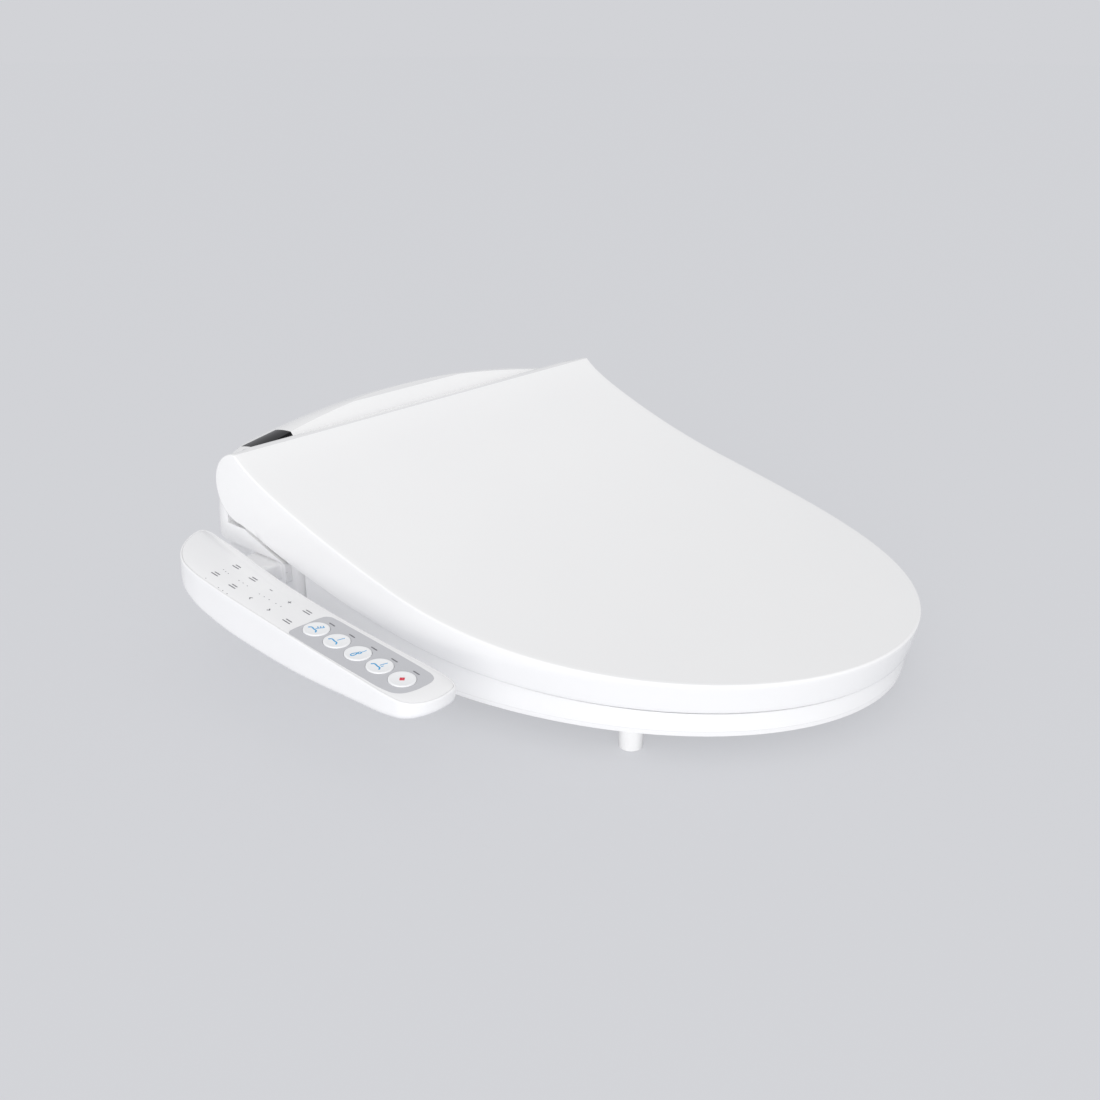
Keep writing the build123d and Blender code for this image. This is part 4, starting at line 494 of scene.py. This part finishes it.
def makeLid():
    # rows run from the front tip along the sides and round the rear; columns run from the middle
    # over the top, round the rim, down the skirt, round its lip and back under the top
    hy, hz, lobe = lid["hingeY"], lid["hingeZ"], lid["lobe"]
    frontRows, sideRows, runRows, rollRows, cheekRows = lid["rows"]
    turns = np.linspace(0, pi / 2, frontRows)[:-1]
    sides = np.linspace(lid["midY"], lid["runY"], sideRows)
    rears = np.linspace(lid["runY"], hy, runRows)[1:]
    roll = np.radians(np.linspace(90, lid["rollEnd"], rollRows))[1:]
    drop = np.radians(np.linspace(lid["rollEnd"], lid["lobeEnd"], cheekRows))
    spin = np.concatenate([roll, drop])    # the row at the roll's end comes twice
    plain = len(turns) + len(sides) + len(rears)
    turn = np.concatenate([turns, np.full(len(sides) + len(rears) + len(spin), pi)])
    rowY = np.concatenate([turns * 0, sides, rears, hy + lobe * np.cos(spin)])
    lobeTurn = np.concatenate([np.zeros(plain), spin])
    isLobe = np.arange(len(turn)) >= plain
    rolled = plain + len(roll)    # rows up to here have the top between the cheeks
    onlyCheek = np.arange(len(turn)) >= rolled

    def edgeLine(inset, depth):
        # the rim moved in by inset, and down by depth square to the top
        x, y = planLine(turn, rowY, inset)
        z = lidHeight(y) - depth
        y = np.where(isLobe, hy + (lobe - depth) * np.cos(lobeTurn), y)
        return x, y, np.where(isLobe, hz + (lobe - depth) * np.sin(lobeTurn), z)

    rearRow = np.clip(np.arange(len(turn)) - (plain - len(rears)) + 1, 0, None)
    along = rearRow / rearRow.max()
    isRear = rearRow > 0
    runStart = np.array([lid["runY"], skirtHeight(lid["runY"])])
    end = np.radians(lid["lobeEnd"])
    runEnd = np.array([hy + lobe * np.cos(end), hz + lobe * np.sin(end)])

    def skirtPoint(share, inset, lift):
        # a point between the rim (share 0) and the lower edge (share 1), lift above that edge
        _, y0, z0 = edgeLine(0, lid["edge"])
        runY, runZ = (a + (b - a) * along for a, b in zip(runStart, runEnd))
        lowZ = np.where(isRear, runZ, skirtHeight(y0)) + lift * (1 - along)
        lowY = np.where(isRear, runY, y0)
        z = z0 + (lowZ - z0) * share
        below = np.clip(np.minimum(lid["frontZ"], z0) - z, 0, None)    # the lean grows with this depth
        lean = lid["lean"] * below / (lid["frontZ"] - lid["skirtZ"])
        x, y = planLine(turn, np.where(isRear, y0 + (lowY - y0) * share, rowY), inset + lean)
        return x, y, z

    def strip(lines):
        return np.stack([spread(*line) for line in lines], axis=1)

    topCols, cheekCols, rimCols, skirtCols, lipCols, innerCols = lid["columns"]
    x1, y1, z1 = edgeLine(lid["edge"], 0)
    back = np.clip((pi / 2 - np.where(isLobe, lobeTurn, pi / 2)) / lid["swellTurn"], 0, 1)
    swell = lid["swell"] * ease(back)
    yRoll, zRoll = y1 + swell * np.cos(lobeTurn), z1 + swell * np.sin(lobeTurn)
    split = np.where(isLobe, lid["cheek"], lid["cheek"] * x1 / (lid["rearWidth"] - lid["edge"]))
    shares = np.linspace(0, lid["swellSide"], topCols)
    topA = strip([(split * u, yRoll, zRoll) for u in shares] + [(split, y1, z1)])
    topB = strip([(split + (x1 - split) * u, y1, z1) for u in np.linspace(0, 1, cheekCols)])
    phis = np.linspace(0, pi / 2, rimCols)
    rim = strip([edgeLine(lid["edge"] * (1 - np.sin(p)), lid["edge"] * (1 - np.cos(p))) for p in phis])
    wall = strip([skirtPoint(v, 0.0, lid["lip"]) for v in np.linspace(0, 1, skirtCols)])
    grow = np.clip((rowY - lid["thickY"]) / lid["thickRun"], 0, 1) * (turn > pi / 2)
    thick = lid["wall"] + (sideWidth(rowY) - lid["cheek"] - lid["wall"]) * ease(grow)
    bows = np.linspace(0, pi, lipCols)
    lip = strip([skirtPoint(1.0, thick / 2 * (1 - np.cos(b)), lid["lip"] * (1 - np.sin(b))) for b in bows])
    xi, yi, zi = edgeLine(thick, lid["top"])
    xl, yl, zl = skirtPoint(1.0, thick, lid["lip"])
    shares = np.linspace(0, 1, innerCols)
    rise = [(xl + (xi - xl) * v, yl + (yi - yl) * v, zl + (zi - zl) * v) for v in shares]
    xe, ye, ze = edgeLine(thick, 0)
    rise.append(tuple(np.where(onlyCheek, a, b) for a, b in ((xe, xi), (ye, yi), (ze, zi))))
    inner = strip(rise)
    under = strip([(xi * u, yi, zi) for u in np.linspace(0, 1, topA.shape[1])])[:rolled]
    # two strips close the roll's lower edge and the ends of the cheeks
    rollEdge = np.stack([topA[rolled - 1], under[-1]], axis=0)
    cheekRing = np.concatenate([grid[-1] for grid in (topB, rim, wall, lip, inner)])
    cheekEnd = np.stack([cheekRing, np.broadcast_to(cheekRing.mean(axis=0), cheekRing.shape)], axis=0)
    grids = [topA[:rolled], topB, rim, wall, lip, inner, under, rollEdge, cheekEnd]
    addPiece("lid_form", grids, "shell_white", "lid", ("lid_shell",), lid["sharp"], True)


makeLid()
print("lid made")

panel = {
    "side": -193.0,    # the points below are distances out from here, and y
    "planeZ": 86.03,
    "fall": 0.084,
    "inner": ((22.2, -38), (22.7, -55), (24.6, -80), (28.6, -112), (32.6, -165), (33.6, -205), (33.0, -245),
              (32.0, -280), (32.3, -296)),
    "front": ((33.6, -301.8), (36.6, -306.2), (44.0, -308.6), (53.9, -308.9), (62.0, -306.9), (68.2, -302.8),
              (71.6, -297), (72.6, -289)),
    "outer": ((72.8, -262), (72.5, -234), (71.2, -170), (69.2, -110), (66.8, -84), (63.0, -68), (56.0, -55),
              (47.3, -45.3), (37.5, -38), (29.5, -34.2), (25.5, -33.8), (23.2, -35)),
    "underY": (-312, -285, -247, -199, -150, -115, -85, -60, -28),
    "underZ": (50.5, 46.8, 44.8, 43, 44.8, 48, 53, 59.5, 68.5),
    "spineY": (-285, -234, -160, -105, -74),
    "spineX": (-246, -246.8, -244.5, -241.5, -238),
    "rim": ((1.3, -1.6), (1.28, -0.12), (1.0, -0.02), (0.55, -0.06), (0.15, -0.36), (0.0, -0.9)),
    "plate": ((1.42, -1.2), (1.42, -0.07), (1.6, 0.0)),
    "belly": 4.5,    # rounding below
    "bellyShares": (0.3, 0.65),
    "join": 4.0,
    "steps": 220,
    "cubicSteps": 32,    # between two points, before the even steps
    "columns": (8, 7),    # side, rounding below
    "startDepth": 40.0,
    "depthRounds": 6,
    "sharp": 45.0,
}
tilt = np.arctan(panel["fall"])


def panelPoint(x, y, h):
    # h is the distance above the panel's sloping plane
    return spread(x, y - h * np.sin(tilt), panel["planeZ"] + panel["fall"] * y + h * np.cos(tilt))


def closedCurve(points, count):
    # a cubic through every point, with slopes from its two neighbours, cut into even steps
    p = np.array(points, float)
    after, before = np.roll(p, -1, axis=0), np.roll(p, 1, axis=0)
    d = np.linalg.norm(after - p, axis=1)[:, None]
    e = np.roll(d, 1, axis=0)
    slope = ((after - p) / d * e + (p - before) / e * d) / (d + e)
    s = np.linspace(0, 1, panel["cubicSteps"], endpoint=False)[None, :, None]
    ends = (p, after, slope * d, np.roll(slope, -1, axis=0) * d)
    fine = sum(end[:, None, :] * weight for end, weight in zip(ends, cubic(s))).reshape(-1, 2)
    fine = np.concatenate([fine, fine[:1]])
    walk = walked(fine)
    steps = np.linspace(0, walk[-1], count + 1)
    return np.stack([np.interp(steps, walk, fine[:, k]) for k in (0, 1)], axis=1)


def underHeight(y):
    # cubic through the underside's heights, by their slopes
    ys, zs = np.array(panel["underY"], float), np.array(panel["underZ"], float)
    slope = np.gradient(zs, ys)
    k = np.clip(np.searchsorted(ys, y) - 1, 0, len(ys) - 2)
    d = ys[k + 1] - ys[k]
    s = np.clip((y - ys[k]) / d, 0, 1)
    ends = (zs[k], zs[k + 1], slope[k] * d, slope[k + 1] * d)
    return sum(end * weight for end, weight in zip(ends, cubic(s)))


def onSide(points, count):
    return closedCurve([(panel["side"] - out, y) for out, y in points], count)


def inwards(line):
    # unit normals of a closed line, all to its inner side
    edge = np.gradient(line[:-1], axis=0)
    edge = np.concatenate([edge, edge[:1]])
    area = np.sum(line[:-1, 0] * np.roll(line[:-1, 1], -1) - np.roll(line[:-1, 0], -1) * line[:-1, 1])
    normal = np.stack([-edge[:, 1], edge[:, 0]], axis=1) / np.linalg.norm(edge, axis=1)[:, None]
    return normal * np.sign(area)


panelLine = onSide(panel["inner"] + panel["front"] + panel["outer"], panel["steps"])
panelIn = inwards(panelLine)


def outlinePoint(inset, h):
    # the panel's outline moved in by inset, h above its plane
    moved = panelLine + panelIn * inset
    return panelPoint(moved[:, 0], moved[:, 1], h)


def makePanelHull():
    # rows go round the outline; columns start in the middle, go over the rim, down the side, round below
    # and in to the spine
    x, y = panelLine[:, 0], panelLine[:, 1]
    sy = np.clip(y, panel["spineY"][0], panel["spineY"][-1])
    sx = np.interp(sy, panel["spineY"], panel["spineX"])
    far = np.hypot(sx - x, sy - y)
    inX, inY = (sx - x) / far, (sy - y) / far
    depth = np.full(len(x), panel["startDepth"])
    for _ in range(panel["depthRounds"]):    # how far the side runs down, square to the plane
        low = underHeight(y + depth * np.sin(tilt))
        depth = (panel["planeZ"] + panel["fall"] * y - low) / np.cos(tilt)
    joinY = np.round(sy / panel["join"]) * panel["join"]    # both sides meet in these points
    joinX = np.interp(joinY, panel["spineY"], panel["spineX"])
    columns = [panelPoint(joinX, joinY, panel["rim"][0][1])]
    columns += [outlinePoint(inset, h) for inset, h in panel["rim"]]
    sideCols, bellyCols = panel["columns"]
    top = panel["rim"][-1][1]
    bottom = panel["belly"] - depth
    columns += [panelPoint(x, y, top + (bottom - top) * v) for v in np.linspace(0, 1, sideCols)[1:]]
    wallEnd = columns[-1]
    for p in np.linspace(0, pi / 2, bellyCols)[1:]:
        step = panel["belly"] * (1 - np.cos(p))
        columns.append(wallEnd + spread(inX * step, inY * step, -panel["belly"] * np.sin(p)))
    rounded = columns[-1]
    spine = spread(sx, sy, underHeight(sy))
    columns += [rounded + (spine - rounded) * v for v in panel["bellyShares"]]
    columns.append(spread(joinX, joinY, underHeight(joinY)))
    return np.stack(columns, axis=1)


neck = {
    "middle": (-74.0, 58.5),
    "half": (16.0, 6.5),
    "flangeMiddle": (-74.0, 57.4),
    "flangeHalf": (21.0, 8.4),
    "from": -222.0,
    "flange": -192.0,    # thick enough to cover its screw heads
    "steps": ((-2.0, 0), (-0.6, 0.04), (0.0, 0.14), (0.0, 0.97), (0.5, 1)),    # past the flange, share of it
    "end": -187.1,
    "square": 7.0,    # power of the rounded rectangle
    "around": 61,
}


def makeNeck():
    # a rounded rectangle carried along x, widening into a flange
    around = np.linspace(0, 2 * pi, neck["around"])
    c, s = np.cos(around), np.sin(around)
    across = np.sign(c) * np.abs(c) ** (2 / neck["square"])
    up = np.sign(s) * np.abs(s) ** (2 / neck["square"])
    y0, z0 = neck["middle"]
    y1, z1 = neck["flangeMiddle"]
    sections = [(neck["from"], 0, 0), (neck["from"], 0, 1)]
    sections += [(neck["flange"] + step, share, 1) for step, share in neck["steps"]]
    sections += [(neck["end"], 1, 1), (neck["end"], 1, 0)]
    rows = []
    for x, share, grow in sections:    # grow 0 closes an end
        halfY = neck["half"][0] + (neck["flangeHalf"][0] - neck["half"][0]) * share
        halfZ = neck["half"][1] + (neck["flangeHalf"][1] - neck["half"][1]) * share
        midY, midZ = y0 + (y1 - y0) * share, z0 + (z1 - z0) * share
        rows.append(spread(x, midY + across * halfY * grow, midZ + up * halfZ * grow))
    return np.stack(rows, axis=0)


hullGrids = [makePanelHull(), makeNeck()]
addPiece("panel_hull", hullGrids, "panel_white", "body", ("panel_case",), panel["sharp"])
print("panel made")

keys = {
    "bore": 8.68,
    "names": ("key_dry", "key_pulse", "key_front_wash", "key_rear_wash", "key_stop"),
    "x": -247.5,
    "y": -201.0,
    "pitch": 19.72,
    "profileR": (0.0, 2.5, 5.0, 6.6, 7.4, 7.9, 8.2, 8.4, 8.5, 8.5, 9.2, 9.2, 2.0, 2.0, 0.0),
    "profileH": (0.36, 0.38, 0.46, 0.58, 0.67, 0.68, 0.58, 0.36, 0.0, -2.4, -2.4, -3.4, -3.4, -6.4, -6.4),
    "dish": 9,    # this many points of the profile are the top
    "around": 73,
    "sharp": 50.0,
    "printLift": 0.05,
    "printDepth": 0.05,
    "printSteps": 26,
}


def keyY(i):
    return keys["y"] - keys["pitch"] * i


def onKey(i, u, v, h):
    # u along x, v up the panel's slope and h off its plane, from the middle of a key
    return panelPoint(keys["x"] + u, keyY(i) + v * np.cos(tilt), h)


def makeKey(i, name):
    # a dished profile turned about the key's axis
    around = np.linspace(0, 2 * pi, keys["around"])[:, None]
    r, h = np.array(keys["profileR"])[None, :], np.array(keys["profileH"])[None, :]
    grid = onKey(i, r * np.cos(around), r * np.sin(around), h + 0 * around)
    addPiece(name + "_cap", [grid], "key_white", name, (name,), keys["sharp"])


field = {
    "outline": ((44, -191.2), (54, -191.2), (64, -191.2), (68, -191.9), (69.9, -194.4), (70.3, -200),
                (70.5, -215), (70.4, -238), (70.2, -262), (69.6, -280), (68.0, -287), (64, -291.2),
                (58, -293.2), (50, -293.7), (44, -293.3), (40, -291.4), (37.9, -287.4), (37.2, -280),
                (36.9, -264), (37.0, -236), (37.1, -212), (37.3, -200), (38.0, -194.6), (40.2, -192)),
    "height": 0.02,
    "skirt": -1.0,
    "slit": 0.12,    # between the grey field and the plate round it
    "near": 0.12,    # a border this close to the field's edge counts as edge
    "steps": 480,
    "around": 241,
    "far": 1e6,
    "least": 0.01,    # flatter directions never meet a border
    "sharp": 30.0,
}
fieldLine = onSide(field["outline"], field["steps"])


def reachFrom(x, y, line, angles):
    # how far a closed line lies from a point inside it, by direction
    way = np.arctan2(line[:-1, 1] - y, line[:-1, 0] - x)
    far = np.hypot(line[:-1, 0] - x, line[:-1, 1] - y)
    return np.interp(angles, way, far, period=2 * pi)


def makeField():
    # one patch round each key, from its bore out to the field's edge or half way to the next key
    grids = []
    inside = fieldLine[:, 0].mean()
    for i in range(len(keys["names"])):
        x, y = keys["x"], keyY(i)
        angles = np.linspace(-pi, pi, field["around"])
        borders = []
        if i > 0:
            borders.append(y + keys["pitch"] / 2)
        if i < len(keys["names"]) - 1:
            borders.append(y - keys["pitch"] / 2)
        for level in borders:
            for side in (fieldLine[:, 0] < inside, fieldLine[:, 0] >= inside):
                near = fieldLine[side][np.argmin(np.abs(fieldLine[side][:, 1] - level))]
                angles = np.append(angles, np.arctan2(level - y, near[0] - x))
        angles = np.sort(angles)
        edge = reachFrom(x, y, fieldLine, angles)
        limit = np.full(len(angles), field["far"])
        for level in borders:
            rise = np.sin(angles) * np.sign(level - y)
            toBorder = abs(level - y) / np.maximum(rise, field["least"])
            limit = np.minimum(limit, np.where(rise > field["least"], toBorder, field["far"]))
        reach = np.minimum(edge, limit)
        c, s = np.cos(angles), np.sin(angles)
        low, high, half = field["skirt"], field["height"], (keys["bore"] + reach) / 2
        corners = ((reach, low), (keys["bore"], low), (keys["bore"], high), (half, high), (reach, high))
        patch = np.stack([panelPoint(x + r * c, y + r * s, h) for r, h in corners], axis=1)
        atEdge = edge < limit + field["near"]
        runs = np.split(np.arange(len(angles)), np.flatnonzero(np.diff(atEdge)) + 1)
        walls = [patch[run][:, [-1, 0]] for run in runs if atEdge[run[0]] and len(run) > 1]
        grids += [patch] + walls
    addPiece("field_face", grids, "field_grey", "body", ("key_field",), field["sharp"])


def makePlate():
    # the white plate between the rim and the grey field, and the floor below the field; columns start
    # and end in the middle
    midX, midY = keys["x"], keyY(len(keys["names"]) // 2)
    middle = np.zeros(len(panelLine))
    columns = [panelPoint(midX + middle, midY + middle, panel["plate"][0][1])]
    columns += [outlinePoint(inset, h) for inset, h in panel["plate"]]
    angles = np.arctan2(panelLine[:, 1] - midY, panelLine[:, 0] - midX)
    reach = reachFrom(midX, midY, fieldLine, angles) + field["slit"]
    x, y = midX + reach * np.cos(angles), midY + reach * np.sin(angles)
    columns += [panelPoint(x, y, 0.0), panelPoint(x, y, field["skirt"])]
    columns.append(panelPoint(midX + middle, midY + middle, field["skirt"]))
    grid = np.stack(columns, axis=1)
    addPiece("panel_plate", [grid], "panel_white", "body", ("panel_top",), field["sharp"])


for i, name in enumerate(keys["names"]):
    makeKey(i, name)
makeField()
makePlate()
print("keys, field and plate made")

viewRight = np.array((0.667, -0.745))    # the prints are drawn in these two directions of the panel
viewUp = np.array((0.745, 0.667))
seated = ((-5.6, 1.5), (-3.2, 2.0), (-1.4, -0.3), (0.2, -2.0), (0.1, -4.6))
ink = {
    "columns": (-1, -0.34, 0.34, 1),    # across a stroke
    "tip": 0.03,
}
prints = {    # strokes as points and half widths
    "key_dry": ((seated, 0.5), (((-0.6, 0.4), (2.2, 1.4), (5.0, 2.0)), 0.36),
                (((0.3, 3.2), (0.9, 1.5)), 0.34), (((2.0, 3.6), (2.5, 1.9)), 0.34),
                (((3.7, 4.0), (4.2, 2.4)), 0.34)),
    "key_pulse": ((seated, 0.5), (((0.0, 0.6), (2.2, 2.2), (4.4, 3.6)), 0.3)),
    "key_front_wash": ((((-4.4, -2.2), (-2.6, -0.4), (-0.6, 0.2), (-1.2, -1.8), (-3.2, -3.4),
                         (-4.4, -2.2)), 0.4),
                       (((-0.4, 0.4), (1.0, 1.6), (2.0, 0.6), (0.8, -0.6), (-0.4, 0.4)), 0.36),
                       (((1.8, 1.2), (3.4, 2.4), (4.8, 3.6)), 0.26)),
    "key_rear_wash": ((seated, 0.5), (((0.0, 0.6), (2.2, 2.2), (4.4, 3.6)), 0.3),
                      (((0.9, -0.9), (2.4, 0.2)), 0.32)),
    "key_stop": tuple((((-1.6, row - 0.1), (1.6, row + 0.1)), 0.52) for row in (-1.06, 0.0, 1.06)),
}


def ribbon(points, half, count):
    # a cubic line through the points, widened to both sides, with soft ends
    p = np.array(points, float)
    s = np.linspace(0, len(p) - 1, count)
    k = np.clip(s.astype(int), 0, len(p) - 2)
    t = (s - k)[:, None]
    slope = np.gradient(p, axis=0)
    ends = (p[k], p[k + 1], slope[k], slope[k + 1])
    middle = sum(end * weight for end, weight in zip(ends, cubic(t)))
    way = np.gradient(middle, axis=0)
    way /= np.linalg.norm(way, axis=1)[:, None]
    side = np.stack([-way[:, 1], way[:, 0]], axis=1)
    walk = walked(middle)
    end = np.clip(np.minimum(walk, walk[-1] - walk) / half, 0, 1)
    width = half * np.sqrt(np.clip(1 - (1 - end) ** 2, ink["tip"], 1))
    return np.stack([middle + side * (width * a)[:, None] for a in ink["columns"]], axis=1)


def thicken(piece, depth):
    solid = piece.modifiers.new("inkDepth", "SOLIDIFY")
    solid.thickness = depth * mm
    solid.offset = -1


def makePrint(i, name):
    # every stroke follows the dish of its key
    grids = []
    dishR, dishH = keys["profileR"][:keys["dish"]], keys["profileH"][:keys["dish"]]
    for points, half in prints[name]:
        flat = ribbon(points, half, keys["printSteps"])
        x = flat[..., 0] * viewRight[0] + flat[..., 1] * viewUp[0]
        v = flat[..., 0] * viewRight[1] + flat[..., 1] * viewUp[1]
        dish = np.interp(np.hypot(x, v), dishR, dishH)
        grids.append(onKey(i, x, v, dish + keys["printLift"]))
    paint = "print_red" if name == "key_stop" else "print_blue"
    thicken(addPiece(name + "_print", grids, paint, name), keys["printDepth"])


for i, name in enumerate(keys["names"]):
    makePrint(i, name)
print("key prints made")

marks = {
    "lift": 0.06,
    "depth": 0.05,
    "steps": 12,
    "bars": ((-233.5, -98.8), (-249.9, -98.4), (-251.7, -120.4), (-236.0, -120.7), (-237.7, -180.0),
             (-254.2, -181.0)),
    "barLines": ((-1.1, 4.0), (1.1, 3.2)),    # across, half length
    "barLean": 0.1,
    "barHalf": 0.42,
    "lamps": ((-242.6, -96.5), (-243.2, -99.8), (-243.6, -103.3), (-258.6, -99.5), (-260.0, -115.8),
              (-260.4, -121.1), (-260.8, -126.5), (-244.3, -116.2), (-244.4, -120.9), (-244.7, -126.0),
              (-245.6, -140.3), (-245.6, -145.5), (-245.6, -150.6), (-245.6, -157.7), (-245.6, -162.9)),
    "lamp": (0.3, 0.0, 0.7),    # reach along x and y, half width
    "minus": (-236.9, -141.1),
    "plus": (-238.2, -162.1),
    "signLong": (0.0, 1.5, 0.32),
    "signAcross": (1.5, 0.0, 0.32),
    "raise": (-253.2, -141.4),
    "lower": (-253.9, -161.3),
    "arrowOff": (0.5, 0.3),
    "arrow": (0.8, 0.9, 0.38),
    "keyBars": ((-236.4, -202.7), (-236.4, -221.8), (-236.4, -242.4), (-236.4, -260.8), (-236.4, -280.0)),
    "keyBar": (0.15, 3.0, 0.5),
}


def stroke(x, y, dx, dy, half):
    # a straight pill about x and y, reaching dx and dy each way
    flat = ribbon(((x - dx, y - dy), (x, y), (x + dx, y + dy)), half, marks["steps"])
    return panelPoint(flat[..., 0], flat[..., 1], marks["lift"])


def makeMarks():
    dark = []
    for x, y in marks["bars"]:
        for across, long in marks["barLines"]:
            dark.append(stroke(x + across, y, marks["barLean"], long, marks["barHalf"]))
    dark += [stroke(*spot, *marks["keyBar"]) for spot in marks["keyBars"]]
    for place, kind in (("minus", "signLong"), ("plus", "signLong"), ("plus", "signAcross")):
        dark.append(stroke(*marks[place], *marks[kind]))
    (offX, offY), (dx, dy, half) = marks["arrowOff"], marks["arrow"]
    for place, way in (("raise", 1), ("lower", -1)):
        x, y = marks[place]
        dark += [stroke(x + side * offX, y + way * offY, -side * dx, way * dy, half) for side in (-1, 1)]
    pale = [stroke(*spot, *marks["lamp"]) for spot in marks["lamps"]]
    thicken(addPiece("panel_marks", dark, "print_grey", "body"), marks["depth"])
    thicken(addPiece("panel_lamps", pale, "print_pale", "body"), marks["depth"])


makeMarks()
print("panel marks made")
